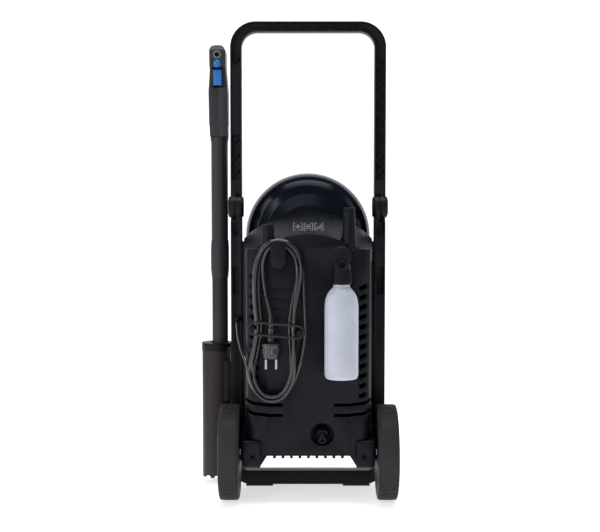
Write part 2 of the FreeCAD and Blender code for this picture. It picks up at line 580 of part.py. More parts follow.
def front_housing():
    """Front shell under the reel tub, with side flanges on the rails, vents and the switch's hole."""
    outer = block("front_outer", ("-front_half", "front_face", "body_low"),
                  ("front_half", "seam - seam_gap", "front_top"))
    inner = block("front_inner", ("-front_half + wall", "front_face + wall", "body_low + wall"),
                  ("front_half - wall", "seam + 1", "front_top + 9"))
    flanges = []
    for index, sign in enumerate((1, -1)):
        low, high = ("front_half - 1", "rail_inner") if sign > 0 else ("-rail_inner", "-front_half + 1")
        flanges.append(block(f"front_flange_{index}", (low, "rail_front + 3", "flange_low"),
                             (high, "rail_back - 3", "front_top - 12")))
    tub_room = rod("front_tub_room", "Y", ("0", "front_face - 9", "reel_level"), "200", "tub_rad + 2.5")
    shaft_hole = rod("front_switch_hole", "Y", ("0", "front_face - 1", "switch_level"), "wall + 2",
                     "switch_shaft_rad + switch_play")
    vents = [block(f"vent_{index}", ("-44", "front_face - 1", f"130 + {index}*14"),
                   ("44", "front_face + wall + 1", f"136 + {index}*14")) for index in range(6)]
    notches = []
    for index, sign in enumerate((1, -1)):
        low, high = ("front_half - 0.5", "rail_inner + 9") if sign > 0 else ("-rail_inner - 9", "-front_half + 0.5")
        notches.append(block(f"front_notch_{index}", (low, "rail_front - 9", "0"), (high, "seam + 9", "arm_top + 1")))
    keep(cut("front_housing", fuse("front_solid", outer, *flanges), inner, tub_room, shaft_hole, *vents, *notches))


def reel_tub():
    """Bowl over the hose reel: open at the front, drawn in and closed towards the back."""
    def bowl(name, inset):
        points = [("0", f"-tub_back - 0 + {inset}"), (f"tub_rear_rad - {inset}", f"-tub_back + {inset}"),
                  (f"tub_rad - {inset}", "-tub_round"), (f"tub_rad - {inset}", f"-tub_rim + {inset}"),
                  ("0", f"-tub_rim + {inset}")]
        body = turned(name, "Y", ("0", "0", "reel_level"), points, {1: "24", 2: "60"})
        body.Placement = Placement(Vector(), Rotation(AXES["Z"], Vector(0, -1, 0)))
        return body
    outer, inner = bowl("tub_outer", "0"), bowl("tub_inner", "wall")
    keep(cut("reel_tub", outer, inner))


# ---------------------------------------------------------------- hose reel

def reel():
    """Drum with its rear flange, ribbed front flange, crank with a free-turning knob, and the fixed axle."""
    centre = ("0", "{}", "reel_level")
    def at(back):
        return tuple(part.format(back) for part in centre)
    bore = "reel_axle_rad + pin_play"
    points = [(bore, "0"), ("rear_flange_rad", "0"), ("rear_flange_rad", "flange_thick"), ("core_rad", "flange_thick"),
              ("core_rad", "drum_rear - drum_front"), ("core_rad - 4", "drum_rear - drum_front"),
              ("core_rad - 4", "flange_thick"), ("reel_axle_rad + 5", "flange_thick"),
              ("reel_axle_rad + 5", "drum_rear - drum_front"), (bore, "drum_rear - drum_front")]
    drum = turned("reel_drum", "Y", at("drum_rear"), points)
    drum.Placement = Placement(Vector(), Rotation(AXES["Z"], Vector(0, -1, 0)))
    keep(drum)
    disc = [(bore, "0"), ("front_flange_rad", "0"), ("front_flange_rad", "flange_thick + 2"),
            ("front_flange_rad - 3", "flange_thick + 2"), ("front_flange_rad - 3", "flange_thick"),
            (bore, "flange_thick")]
    flange = turned("flange_disc", "Y", at("drum_front"), disc, {2: "1"})
    flange.Placement = Placement(Vector(), Rotation(AXES["Z"], Vector(0, -1, 0)))
    windows = []
    for index in range(6):
        angle = math.radians(60 * index + 30)
        windows.append(rod(f"flange_window_{index}", "Y",
                           (f"84*{math.cos(angle):.6f}", "drum_front - flange_thick - 3", f"reel_level + 84*{math.sin(angle):.6f}"),
                           "flange_thick + 6", "17"))
    keep(cut("reel_flange", flange, *windows))
    rear_face = "tub_back - wall"
    axle_rod = rod("reel_axle_rod", "Y", ("0", "crank_face + 1", "reel_level"), f"{rear_face} - crank_face - 1",
                   "reel_axle_rad")
    axle_cap = rod("reel_axle_cap", "Y", ("0", "crank_face - 3", "reel_level"), "5", "reel_axle_rad + 6")
    keep(fuse("reel_axle", axle_rod, axle_cap))
    crank = [("-0.5*crank_wide", "reel_level + crank_in"), ("0.5*crank_wide", "reel_level + crank_in"),
             ("0.5*crank_wide", "reel_level + crank_out"), ("-0.5*crank_wide", "reel_level + crank_out")]
    lever_back = "drum_front - flange_thick"
    arm = prism("crank_arm", "Y", crank, f"{lever_back} - crank_thick", lever_back,
                {number: "0.5*crank_wide - 1" for number in range(4)})
    stub = rod("crank_stub", "Y", ("0", f"{lever_back} - crank_thick - crank_knob_long", "reel_level + crank_out - 13"),
               "crank_knob_long + 1", "4")
    keep(fuse("reel_crank", arm, stub))
    knob = [("4 + pin_play", "0.5"), ("crank_knob_rad", "0.5"), ("crank_knob_rad", "crank_knob_long + 3"),
            ("0", "crank_knob_long + 3"), ("0", "crank_knob_long + 0.5"), ("4 + pin_play", "crank_knob_long + 0.5")]
    body = turned("reel_knob", "Y", ("0", f"{lever_back} - crank_thick", "reel_level + crank_out - 13"), knob,
                  {2: "4"})
    body.Placement = Placement(Vector(), Rotation(AXES["Z"], Vector(0, -1, 0)))
    keep(body)


# ---------------------------------------------------------------- pegs, hook, strap and mains lead

def pegs_and_nozzle():
    """Two accessory pegs, each on a foot let into the shoulder, and the spare nozzle that drops over one."""
    pegs = []
    for index, (middle, radius, seat) in enumerate((("peg_mid", "left_peg_rad", "seat_rad"),
                                                    ("-peg_mid", "peg_rad", "spare_seat_rad"))):
        foot = rod(f"peg_foot_{index}", "Z", (middle, "peg_back", "seat_low"), "peg_low - seat_low", f"{seat} - 0.1")
        post = taper(f"peg_post_{index}", "Z", (middle, "peg_back", "peg_low - 1"), "peg_top - peg_low + 1", radius,
                     f"{radius} - 1")
        pegs.append(fuse(f"peg_{index}", foot, post))
    keep(group("accessory_pegs", *pegs))
    room = "peg_rad + 0.3"
    outer = [(room, "0.3"), ("spare_rad", "0.3"), ("spare_rad", "9"), ("spare_rad - 1.5", "11"),
             ("spare_tip_rad", "spare_top - peg_low"), ("spare_tip_bore", "spare_top - peg_low"),
             ("spare_tip_bore", "peg_top - peg_low + 2"), (room, "peg_top - peg_low + 2")]
    keep(turned("spare_nozzle", "Z", ("-peg_mid", "peg_back", "peg_low"), outer))


def hook_and_strap():
    """The turning cord hook and the elastic loop over the hank."""
    stem = rod("hook_stem", "Y", ("hook_mid", "back - wall - 6", "hook_level"), "hook_face - back + wall + 7",
               "hook_stem_rad")
    points = rectangle(("hook_mid - hook_half", "hook_low"), ("hook_mid + hook_half", "hook_top"))
    plate = prism("hook_plate", "Y", points, "hook_face", "hook_face + hook_thick",
                  {0: "hook_half - 1", 1: "hook_half - 1", 2: "5", 3: "5"})
    keep(fuse("cord_hook", stem, plate))
    middle = "0.5*(strap_left + strap_right)"
    ends = {number: "strap_half - 0.2" for number in range(4)}
    outer = prism("strap_outer", "Y", rectangle(("strap_right", "-strap_half"), ("strap_left", "strap_half")),
                  "0", "strap_thick", ends)
    inset = {number: "strap_half - strap_wide - 0.2" for number in range(4)}
    inner = prism("strap_inner", "Y", rectangle(("strap_right + strap_wide", "-strap_half + strap_wide"),
                                                ("strap_left - strap_wide", "strap_half - strap_wide")),
                  "-1", "strap_thick + 1", inset)
    loop = cut("cord_strap", outer, inner)
    loop.Placement = Placement(Vector(), Rotation(AXES["Y"], -value("strap_slope")))
    for letter, text in zip("xyz", ("0", "strap_front", "strap_level - 5")):
        loop.setExpression(f"Placement.Base.{letter}", bound(text))
    keep(loop)


LEAD = [(139, -82, 336), (139, -64, 336), (138, -46, 330), (136, -28, 320), (133, -9, 308), (129, 10, 297),
        (124, 28, 286), (118, 43, 275), (112, 54, 262)]


def arc_path(points):
    """Straight runs joined by tangent arcs, each arc as large as its two runs allow."""
    spots = [Vector(*point) for point in points]
    edges, start, radii = [], spots[0], []
    for before, corner, after in zip(spots, spots[1:], spots[2:]):
        into, out = (corner - before), (after - corner)
        reach = 0.45 * min(into.Length, out.Length)
        turn = into.getAngle(out)
        radii.append(reach / math.tan(turn / 2))
        into.normalize()
        out.normalize()
        arc_start, arc_end = corner - into * reach, corner + out * reach
        bulge = (arc_start + arc_end) * 0.5 - corner
        sagitta = radii[-1] / math.cos(turn / 2) - radii[-1]
        middle = corner + bulge.normalize() * sagitta
        edges += [Part.LineSegment(start, arc_start).toShape(), Part.Arc(arc_start, middle, arc_end).toShape()]
        start = arc_end
    edges.append(Part.LineSegment(start, spots[-1]).toShape())
    return Part.Wire(edges), radii


def mains_lead():
    """Gland on the rail, the lead's straight stretch, the hank's outer shape, and the plug with its pins."""
    gland_back = "rail_back + gland_long"
    gland = [("0", "0"), ("gland_rad", "0"), ("gland_rad", "4"), ("cord_rad + 1", "gland_long"), ("0", "gland_long")]
    body = turned("cord_gland", "Y", ("gland_mid", "rail_back", "gland_level"), gland)
    body.Placement = Placement(Vector(), Rotation(AXES["Z"], AXES["Y"]))
    keep(body)
    path, radii = arc_path(LEAD)
    radius = value("cord_rad")
    first = Vector(*LEAD[1]) - Vector(*LEAD[0])
    section = Part.Wire(Part.makeCircle(radius, Vector(*LEAD[0]), first))
    tube = doc.addObject("Part::Feature", "power_cord_tube")
    tube.Shape = path.makePipeShell([section], True, True)
    print("cord radii", [round(number, 1) for number in radii], "volume ratio",
          round(tube.Shape.Volume / (math.pi * radius ** 2 * path.Length), 4), "length", round(path.Length, 1))
    keep(tube)
    outer = prism("hank_outer", "Y", rectangle(("hank_right", "hank_low"), ("hank_left", "hank_top")), "hank_back",
                  "hank_back + hank_thick", {number: "hank_round" for number in range(4)})
    inner = prism("hank_inner", "Y", rectangle(("hank_right + hank_wide", "hank_low + hank_wide"),
                                               ("hank_left - hank_wide", "hank_top - hank_wide")),
                  "hank_back - 1", "hank_back + hank_thick + 1", {number: "hank_round - hank_wide" for number in range(4)})
    gaps = [rod(f"hank_gap_{index}", "Y", (middle, "hank_back - 1", level), "hank_thick + 2", "strap_peg_rad + 1")
            for index, (middle, level) in enumerate((("strap_right + 8", "strap_level - 4.3"),
                                                     ("strap_left - 8", "strap_level + 4")))]
    keep(cut("power_cord_hank", outer, inner, *gaps))
    profile = [("0", "plug_low"), ("plug_rad - 2", "plug_low"), ("plug_rad", "plug_top - 6"), ("plug_rad", "plug_top"),
               ("relief_rad + 2", "plug_top + 3"), ("relief_rad", "relief_top"), ("0", "relief_top")]
    keep(turned("power_plug", "Z", ("plug_mid", "plug_back", "0"), profile, {1: "1.5", 3: "1"}))
    pins = [rod(f"plug_pin_{index}", "Z", (f"plug_mid + {sign}*pin_space", "plug_back", "plug_low - pin_long"),
                "pin_long", "pin_thin") for index, sign in enumerate((1, -1))]
    keep(group("plug_pins", *pins))


def inlet():
    """Tilted hexagon and ribbed nipple for the garden hose, rooted in the recess."""
    hexagon = prism("inlet_hex", "Z", [(f"hex_rad*{math.cos(math.radians(60 * k)):.6f}",
                                        f"hex_rad*{math.sin(math.radians(60 * k)):.6f}") for k in range(6)],
                    "0", "hex_long")
    nipple = turned("inlet_nipple", "Z", ("0", "0", "hex_long - 1"),
                    [("0", "0"), ("nipple_rad", "0"), ("nipple_rad", "nipple_long - 3"),
                     ("nipple_rad - 1.5", "nipple_long + 1"), ("0", "nipple_long + 1")])
    bore = rod("inlet_bore", "Z", ("0", "0", "4"), "hex_long + nipple_long", "nipple_bore")
    whole = cut("inlet_whole", fuse("inlet_solid", hexagon, nipple), bore)
    tilt = 90 + value("inlet_tilt")
    whole.Placement = Placement(Vector(), Rotation(AXES["X"], -tilt))
    for letter, text in zip("xyz", ("inlet_mid", "back - inlet_deep + 4", "inlet_level + 1")):
        whole.setExpression(f"Placement.Base.{letter}", bound(text))
    back_wall = block("inlet_wall_room", ("inlet_mid - 40", "back - inlet_deep - 30", "inlet_level - 60"),
                      ("inlet_mid + 40", "back - inlet_deep", "inlet_level + 60"))
    keep(cut("water_inlet", whole, back_wall))


# ---------------------------------------------------------------- foam bottle

def foam_set():
    """Bottle with a real hollow, its spray head on a peg, the turning spray tip and the suction tube."""
    at = ("foam_mid", "foam_back", "0")
    points = [("0", "bottle_low"), ("bottle_rad", "bottle_low"), ("bottle_rad", "bottle_shoulder"),
              ("neck_rad", "bottle_shoulder + 28"), ("neck_rad", "bottle_top"), ("neck_rad - skin", "bottle_top"),
              ("neck_rad - skin", "bottle_shoulder + 28 - 0.5*skin"),
              ("bottle_rad - skin", "bottle_shoulder - 0.5*skin"), ("bottle_rad - skin", "bottle_low + skin"),
              ("0", "bottle_low + skin")]
    keep(turned("foam_bottle", "Z", at, points, {1: "8", 2: "16", 7: "15", 8: "6.5"}))
    collar = taper("foam_collar", "Z", ("foam_mid", "foam_back", "collar_low"), "collar_top - collar_low",
                   "collar_rad", "collar_top_rad")
    collar_room = rod("foam_collar_room", "Z", ("foam_mid", "foam_back", "collar_low - 1"),
                      "bottle_top - collar_low + 1.3", "neck_rad + 0.3")
    drum = rod("foam_drum", "Y", ("foam_mid", "head_front", "head_level"), "head_face - head_front", "head_rad")
    snout = rod("foam_snout", "Y", ("foam_mid", "foam_back", "spray_level"), "head_face - foam_back + 1",
                "spray_rad + 2")
    rings = [rod(f"foam_ring_{index}", "Y", ("foam_mid", f"head_front + 8 + {index}*10", "head_level"), "3",
                 "head_rad + 0.8") for index in range(4)]
    tip_room = rod("foam_tip_room", "Y", ("foam_mid", "head_face - 9", "spray_level"), "20", "spray_rad + 0.06")
    peg_room = rod("foam_peg_room", "Y", ("foam_mid", "head_front - 1", "head_level"), "15", "bottle_peg_rad + 0.06")
    keep(cut("foam_head", fuse("foam_head_solid", collar, drum, snout, *rings), collar_room, tip_room, peg_room))
    profile = [("spray_bore", "0.3"), ("spray_rad", "0.3"), ("spray_rad", "spray_face - head_face + 9"),
               ("spray_bore", "spray_face - head_face + 9")]
    tip = turned("foam_nozzle_ring", "Y", ("foam_mid", "head_face - 9", "spray_level"), profile)
    tip.Placement = Placement(Vector(), Rotation(AXES["Z"], AXES["Y"]))
    plug = rod("foam_nozzle_back", "Y", ("foam_mid", "head_face - 8.7", "spray_level"), "3", "spray_rad - 1")
    keep(fuse("foam_nozzle", tip, plug))


# ---------------------------------------------------------------- lance, holder and gun

def lance_parts():
    """Holder tube with its collar, and the lance that stands in it, from the tip to the gun."""
    tube = rod("holder_tube", "Z", ("holder_x", "lance_y", "holder_low"), "holder_top - holder_low", "holder_rad")
    room = rod("holder_room", "Z", ("holder_x", "lance_y", "holder_low + 4"), "holder_top", "holder_rad - holder_wall")
    arm = block("holder_arm", ("rail_outer", "rail_front + 4", "172"), ("rail_outer + 14", "rail_back - 5", "251"))
    feet = [rod(f"holder_scallop_{index}", "Y", (f"holder_x + {index - 1}*17", "lance_y - 40", "holder_low"), "80", "5")
            for index in range(3)]
    keep(cut("lance_holder", fuse("holder_whole", tube, arm), room, *feet))
    ring = rod("collar_ring", "Z", ("holder_x", "lance_y", "holder_top"), "collar_high - holder_top", "holder_rad + 1")
    mouth = rod("collar_mouth", "Z", ("lance_x + 1", "lance_y", "holder_top - 1"), "collar_high - holder_top + 2",
                "collar_bore")
    ring_cut = cut("collar_cut", ring, mouth)
    rail_gap = block("collar_gap", ("0", "lance_y - 60", "0"), ("rail_outer + 0.3", "lance_y + 60", "900"))
    tab = block("collar_tab", ("156", "lance_y + 20", "252"), ("162", "lance_y + 33", "holder_top + 8"))
    keep(cut("holder_collar", fuse("collar_whole", ring_cut, tab), rail_gap,
             rod("collar_tab_room", "Z", ("holder_x", "lance_y", "200"), "holder_top - 200", "holder_rad + 0.2")))
    centre = ("lance_x", "lance_y", "0")
    keep(turned("lance_tip", "Z", centre, [("1.2", "tip_low"), ("7", "tip_low"), ("9", "tip_low + 8"),
                                           ("9", "lower_low"), ("1.2", "lower_low")]))
    keep(turned("lance_lower", "Z", centre, [("4", "lower_low"), ("lower_rad - 2", "lower_low"),
                                             ("lower_rad", "lower_low + 4"), ("lower_rad", "sleeve_low"),
                                             ("4", "sleeve_low")]))
    keep(turned("lance_sleeve", "Z", centre, [("4", "sleeve_low"), ("lower_rad + 0.6", "sleeve_low"),
                                              ("sleeve_rad", "sleeve_low + 20"), ("sleeve_rad", "sleeve_top - 18"),
                                              ("tube_rad", "sleeve_top"), ("4", "sleeve_top")]))
    keep(turned("lance_tube", "Z", centre, [("4", "sleeve_top"), ("tube_rad - 0.6", "sleeve_top"),
                                            ("tube_rad - 0.6", "tube_top - 12"), ("tube_rad + 0.6", "tube_top - 6"),
                                            ("tube_rad + 0.6", "tube_top"), ("4", "tube_top")]))


GUN = [("lance_y - 18", "tube_top"), ("lance_y + 18", "tube_top"), ("lance_y + 25", "tube_top + 24"),
       ("lance_y + 43", "795"), ("lance_y + 37", "797"), ("lance_y + 45", "829"), ("lance_y + 58", "833"),
       ("lance_y + 64", "864"), ("lance_y + 58", "gun_top - 4.5"), ("lance_y + 45", "gun_top"), ("lance_y + 12", "gun_top - 1.5"),
       ("lance_y - 2", "862"), ("lance_y - 14", "790")]


GUN_BACK = [("gun_top_half + 2.5", "tube_top - 1"), ("gun_top_half + 2.5", "716"), ("gun_half", "724"),
            ("gun_half", "785"), ("gun_top_half + 1.6", "812"), ("gun_top_half", "832"), ("gun_top_half", "gun_top")]


def gun():
    """Two mirrored shells, the trigger on its pivot, the turning lock, the hose inlet, and the valve inside."""
    corners = {0: "5", 2: "4", 3: "2", 6: "4", 7: "5", 9: "8", 10: "9", 11: "14"}
    halves = {"left": ("lance_x + 0.05", "lance_x + gun_half"), "right": ("lance_x - gun_half", "lance_x - 0.05")}
    width = [(f"lance_x + {half}", level) for half, level in GUN_BACK]
    width += [(f"lance_x - ({half})", level) for half, level in reversed(GUN_BACK)]
    for side, (low, high) in halves.items():
        form = prism(f"gun_{side}_form", "Y", width, "lance_y - 30", "lance_y + 80",
                     {6: "gun_top_half - 1", 7: "gun_top_half - 1"})
        shell = common(f"gun_{side}_solid", prism(f"gun_{side}_outer", "X", GUN, low, high, corners), form)
        barrel = block(f"gun_{side}_barrel", ("lance_x - 12", "lance_y - 9", "tube_top + 6"),
                       ("lance_x + 12", "lance_y + 9", "790"))
        grip = block(f"gun_{side}_grip", ("lance_x - 13", "lance_y + 4", "786"),
                     ("lance_x + 13", "lance_y + 20", "866"))
        pocket = prism(f"gun_{side}_pocket", "X",
                       [("lance_y + 22", "795.5"), ("lance_y + 70", "790"), ("lance_y + 70", "831"),
                        ("lance_y + 29", "831")], "lance_x - gun_pocket", "lance_x + gun_pocket")
        throat = rod(f"gun_{side}_throat", "Y", ("lance_x", "lance_y + 30", "855.5"), "60", "8")
        lock_room = rod(f"gun_{side}_lock_room", "Y", ("lance_x", "lance_y + 50", "838.5"), "60", "7.7")
        pivot_room = rod(f"gun_{side}_pivot_room", "X", ("lance_x - 13", "lance_y + 36", "827"), "26", "2.5")
        keep(cut(f"gun_shell_{side}", shell, barrel, grip, pocket, throat, lock_room, pivot_room))
    blade = prism("trigger_blade", "X", [("lance_y + 33", "799"), ("lance_y + 49", "797"), ("lance_y + 55", "828"),
                                         ("lance_y + 39", "829.5")], "lance_x - trigger_half", "lance_x + trigger_half",
                  {1: "3", 2: "3"})
    pivot = rod("trigger_pivot", "X", ("lance_x - 12.8", "lance_y + 36", "827"), "25.6", "2.45")
    lug = block("trigger_lug", ("lance_x - trigger_half", "lance_y + 33.6", "822"),
                ("lance_x + trigger_half", "lance_y + 42", "829.4"))
    keep(fuse("gun_trigger", blade, pivot, lug))
    lock = turned("trigger_lock", "Y", ("lance_x", "lance_y + 50.5", "838.5"),
                  [("0", "0"), ("7.6", "0"), ("7.6", "12"), ("5", "14.5"), ("0", "15.5")])
    lock.Placement = Placement(Vector(), Rotation(AXES["Z"], AXES["Y"]))
    keep(lock)
    hose = turned("gun_inlet", "Y", ("lance_x", "lance_y + 30.5", "855.5"),
                  [("4.6", "14"), ("4.6", "34"), ("7.9", "34"), ("7.9", "0"), ("0", "0"), ("0", "14")])
    hose.Placement = Placement(Vector(), Rotation(AXES["Z"], AXES["Y"]))
    keep(hose)
    keep(rod("gun_valve", "Z", ("lance_x", "lance_y", "tube_top + 8"), "70", "4"))
    keep(helix_spring("trigger_spring", ("lance_x", "lance_y"), "tube_top + 12", "tube_top + 48", "6.2", "0.7", "6"))


# ---------------------------------------------------------------- inside the body

def drive():
    """Motor can with its bearings, the rotor on its shaft with the fan and wobble plate, pump and pistons."""
    centre = ("0", "shaft_mid", "0")
    can = [("shaft_rad + 2", "can_low"), ("can_rad", "can_low"), ("can_rad", "can_top"), ("shaft_rad + 2", "can_top"),
           ("shaft_rad + 2", "can_top - can_wall"), ("can_rad - can_wall", "can_top - can_wall"),
           ("can_rad - can_wall", "can_low + can_wall"), ("shaft_rad + 2", "can_low + can_wall")]
    keep(turned("motor_can", "Z", centre, can))
    rotor = [("0", "shaft_low"), ("shaft_rad", "shaft_low"), ("shaft_rad", "rotor_low"), ("rotor_rad", "rotor_low"),
             ("rotor_rad", "rotor_top"), ("shaft_rad", "rotor_top"), ("shaft_rad", "shaft_top"), ("0", "shaft_top")]
    keep(turned("motor_rotor", "Z", centre, rotor))
    race = "shaft_rad + pin_play"
    ring = [(race, "0"), ("bearing_rad", "0"), ("bearing_rad", "bearing_thick"), (race, "bearing_thick")]
    keep(group("motor_bearings", *(turned(f"bearing_{index}", "Z", ("0", "shaft_mid", low), ring)
                                   for index, low in enumerate(("can_low - bearing_thick", "can_top")))))
    hub = rod("fan_hub", "Z", ("0", "shaft_mid", "fan_low + 2"), "fan_thick - 2", "12")
    blades = []
    for index in range(9):
        blade = block(f"fan_blade_{index}", ("0", "0", "0"), ("fan_rad - 8", "2", "fan_thick - 4"))
        blade.Placement = Placement(Vector(), Rotation(AXES["Z"], 40 * index))
        angle = math.radians(40 * index)
        for letter, text in zip("xyz", (f"8*{math.cos(angle):.6f}", f"shaft_mid + 8*{math.sin(angle):.6f}",
                                        "fan_low + 3")):
            blade.setExpression(f"Placement.Base.{letter}", bound(text))
        blades.append(blade)
    shaft_hole = rod("fan_shaft_hole", "Z", ("0", "shaft_mid", "fan_low - 9"), "60", "shaft_rad")
    keep(cut("cooling_fan", fuse("fan_solid", hub, *blades), shaft_hole))
    slab = rod("wobble_slab", "Z", ("0", "0", "-0.5*wobble_thick"), "wobble_thick", "wobble_rad")
    slab.Placement = Placement(Vector(), Rotation(AXES["X"], 7))
    for letter, text in zip("xyz", ("0", "shaft_mid", "wobble_low + 8")):
        slab.setExpression(f"Placement.Base.{letter}", bound(text))
    wobble_hole = rod("wobble_hole", "Z", ("0", "shaft_mid", "wobble_low - 20"), "60", "shaft_rad")
    keep(cut("wobble_plate", slab, wobble_hole))


def pump():
    """Pump head with three bored cylinders, the pistons in them, their return springs and the outlet pipe."""
    head = rod("pump_block", "Z", ("0", "shaft_mid", "pump_low"), "pump_top - pump_low", "pump_rad")
    bores, pistons, coils = [], [], []
    for index in range(3):
        angle = math.radians(120 * index + 90)
        x, y = f"piston_ring*{math.cos(angle):.6f}", f"shaft_mid + piston_ring*{math.sin(angle):.6f}"
        bores.append(rod(f"pump_bore_{index}", "Z", (x, y, "bore_low"), "pump_top", "piston_rad + piston_play"))
        pistons.append(rod(f"piston_{index}", "Z", (x, y, "piston_low"), "piston_top - piston_low", "piston_rad"))
        coils.append(helix_spring(f"piston_spring_{index}", (x, y), "spring_low", "spring_high", "spring_rad",
                                  "spring_wire", "spring_pitch"))
    keep(cut("pump_head", head, *bores))
    keep(group("pistons", *pistons))
    keep(group("piston_springs", *coils))
    middle, side, radius = value("shaft_mid"), value("outlet_side"), value("pipe_rad")
    start = Vector(value("pump_rad") - radius - 1, middle, value("pump_top"))
    level = value("reel_level")
    route = [start, start + Vector(0, 0, 13), Vector(side, middle, value("pump_top") + 30), Vector(side, middle, 420),
             Vector(side - 30, middle - 5, level - 38), Vector(14, middle - 9, level - 6),
             Vector(0, middle - 24, level), Vector(0, value("tub_back"), level)]
    path, radii = arc_path(route)
    pipe = doc.addObject("Part::Feature", "outlet_pipe")
    section = Part.Wire(Part.makeCircle(radius, start, AXES["Z"]))
    pipe.Shape = path.makePipeShell([section], True, True)
    keep(pipe)


def switch():
    """Rotary switch on the front face and the box of electronics that its shaft turns in."""
    face = "front_face - switch_thick - 0.4"
    grip = rod("switch_disc", "Y", ("0", face, "switch_level"), "switch_thick", "switch_rad")
    bar = block("switch_bar", ("-switch_rad + 3", f"{face} - 9", "switch_level - 5"),
                ("switch_rad - 3", f"{face} + 1", "switch_level + 5"))
    shaft = rod("switch_shaft", "Y", ("0", face, "switch_level"), "31", "switch_shaft_rad")
    keep(fuse("power_switch", grip, bar, shaft))
    box = block("box_case", ("-box_half", "front_face + 26", "switch_level - 45"),
                ("box_half", "front_face + 62", "switch_level + 42"))
    glands = [rod(f"box_gland_{index}", "X", (start, "front_face + 44", "switch_level - 20"), "9", "6")
              for index, start in enumerate(("box_half - 1", "-box_half - 8"))]
    keep(fuse("electronics_box", box, *glands))


fill_sheet()
for side, sign in (("left", 1), ("right", -1)):
    side_rail(side, sign)
    wheel(side, sign)
foot_bar()
push_handle()
hinge_hardware()
axle_parts()
rear_housing()
front_housing()
reel_tub()
reel()
pegs_and_nozzle()
hook_and_strap()
mains_lead()
inlet()
foam_set()
lance_parts()
gun()
drive()
pump()
switch()

doc.recompute()
broken = [thing.Name for thing in doc.Objects if {"Invalid", "Error"} & set(thing.State)]
broken += [node.Label for node in NODES if node.Shape.isNull() or not node.Shape.isValid() or not node.Shape.Solids]
if broken:
    raise RuntimeError(f"these objects did not build: {broken}")
os.makedirs("parts", exist_ok=True)
for node in NODES:
    node.Shape.exportStep(os.path.join("parts", f"{node.Label}.step"))
whole = Part.makeCompound([node.Shape for node in NODES])
box = whole.optimalBoundingBox(False)
print(len(NODES), "nodes, X", round(box.XMin, 2), round(box.XMax, 2), "Y", round(box.YMin, 2), round(box.YMax, 2),
      "Z", round(box.ZMin, 2), round(box.ZMax, 2))
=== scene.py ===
"""Looks of an upright electric pressure washer on its two-wheeled trolley.

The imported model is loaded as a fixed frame. Each group of pieces has its own operator, and the stage has one
more. Places are given in millimetres from the machine's own datum: its centre plane, the wheels' axle and the
floor.
"""

import json
import math

import bmesh
import bpy
from bpy.props import FloatProperty, FloatVectorProperty, IntProperty, PointerProperty
from mathutils import Matrix, Vector
from mathutils.bvhtree import BVHTree

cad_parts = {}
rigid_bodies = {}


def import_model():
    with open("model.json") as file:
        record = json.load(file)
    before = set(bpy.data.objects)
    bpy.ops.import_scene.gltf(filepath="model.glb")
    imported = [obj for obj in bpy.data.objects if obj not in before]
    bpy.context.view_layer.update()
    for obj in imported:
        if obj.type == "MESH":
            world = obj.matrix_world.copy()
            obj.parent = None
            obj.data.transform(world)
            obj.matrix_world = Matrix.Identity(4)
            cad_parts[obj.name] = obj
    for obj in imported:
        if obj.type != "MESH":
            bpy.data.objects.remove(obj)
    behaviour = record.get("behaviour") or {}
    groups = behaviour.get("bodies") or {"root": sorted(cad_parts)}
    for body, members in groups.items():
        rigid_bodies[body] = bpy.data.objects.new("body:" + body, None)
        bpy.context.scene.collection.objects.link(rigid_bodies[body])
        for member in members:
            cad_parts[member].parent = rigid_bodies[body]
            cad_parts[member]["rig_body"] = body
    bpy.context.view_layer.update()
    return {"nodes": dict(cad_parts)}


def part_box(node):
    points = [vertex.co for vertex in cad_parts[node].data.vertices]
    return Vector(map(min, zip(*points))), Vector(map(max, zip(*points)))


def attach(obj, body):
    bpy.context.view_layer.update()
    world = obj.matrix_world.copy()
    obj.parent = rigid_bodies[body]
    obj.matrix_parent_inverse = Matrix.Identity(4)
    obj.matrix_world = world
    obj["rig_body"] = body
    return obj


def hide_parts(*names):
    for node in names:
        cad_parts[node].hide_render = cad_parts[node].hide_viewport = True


bl_info = {
    "name": "Pressure washer",
    "version": (1, 0, 0),
    "blender": (4, 5, 0),
    "location": "View3D > Sidebar > Washer",
    "description": "Builds the visible pieces, the finishes and the stage of a pressure washer on a trolley",
    "category": "Object",
}

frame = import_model()
NODES = frame["nodes"]

LEFT_RAIL, RIGHT_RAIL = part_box("side_rail_left"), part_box("side_rail_right")
LEFT_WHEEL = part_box("wheel_left")
MIDDLE_X = 0.5 * (LEFT_RAIL[1].x + RIGHT_RAIL[0].x)
AXLE_Y = 0.5 * (LEFT_WHEEL[0].y + LEFT_WHEEL[1].y)
MM = 0.001
MERGE = 1e-6                             # corners closer than this are one
TURN = 2 * math.pi
X_AXIS, Y_AXIS, Z_AXIS = Vector((1, 0, 0)), Vector((0, 1, 0)), Vector((0, 0, 1))


def at(x, y, z):
    """A place in the frame from millimetres off the centre plane, behind the axle and over the floor."""
    return Vector((MIDDLE_X + x * MM, AXLE_Y + y * MM, z * MM))


# ---------------------------------------------------------------- sizes and colours a user may change

def colour(name, description, default):
    return FloatVectorProperty(name=name, description=description, default=default, size=3, min=0, max=1,
                               subtype="COLOR")


def length(name, description, default):
    return FloatProperty(name=name, description=description, default=default, min=0, unit="LENGTH",
                         precision=4)


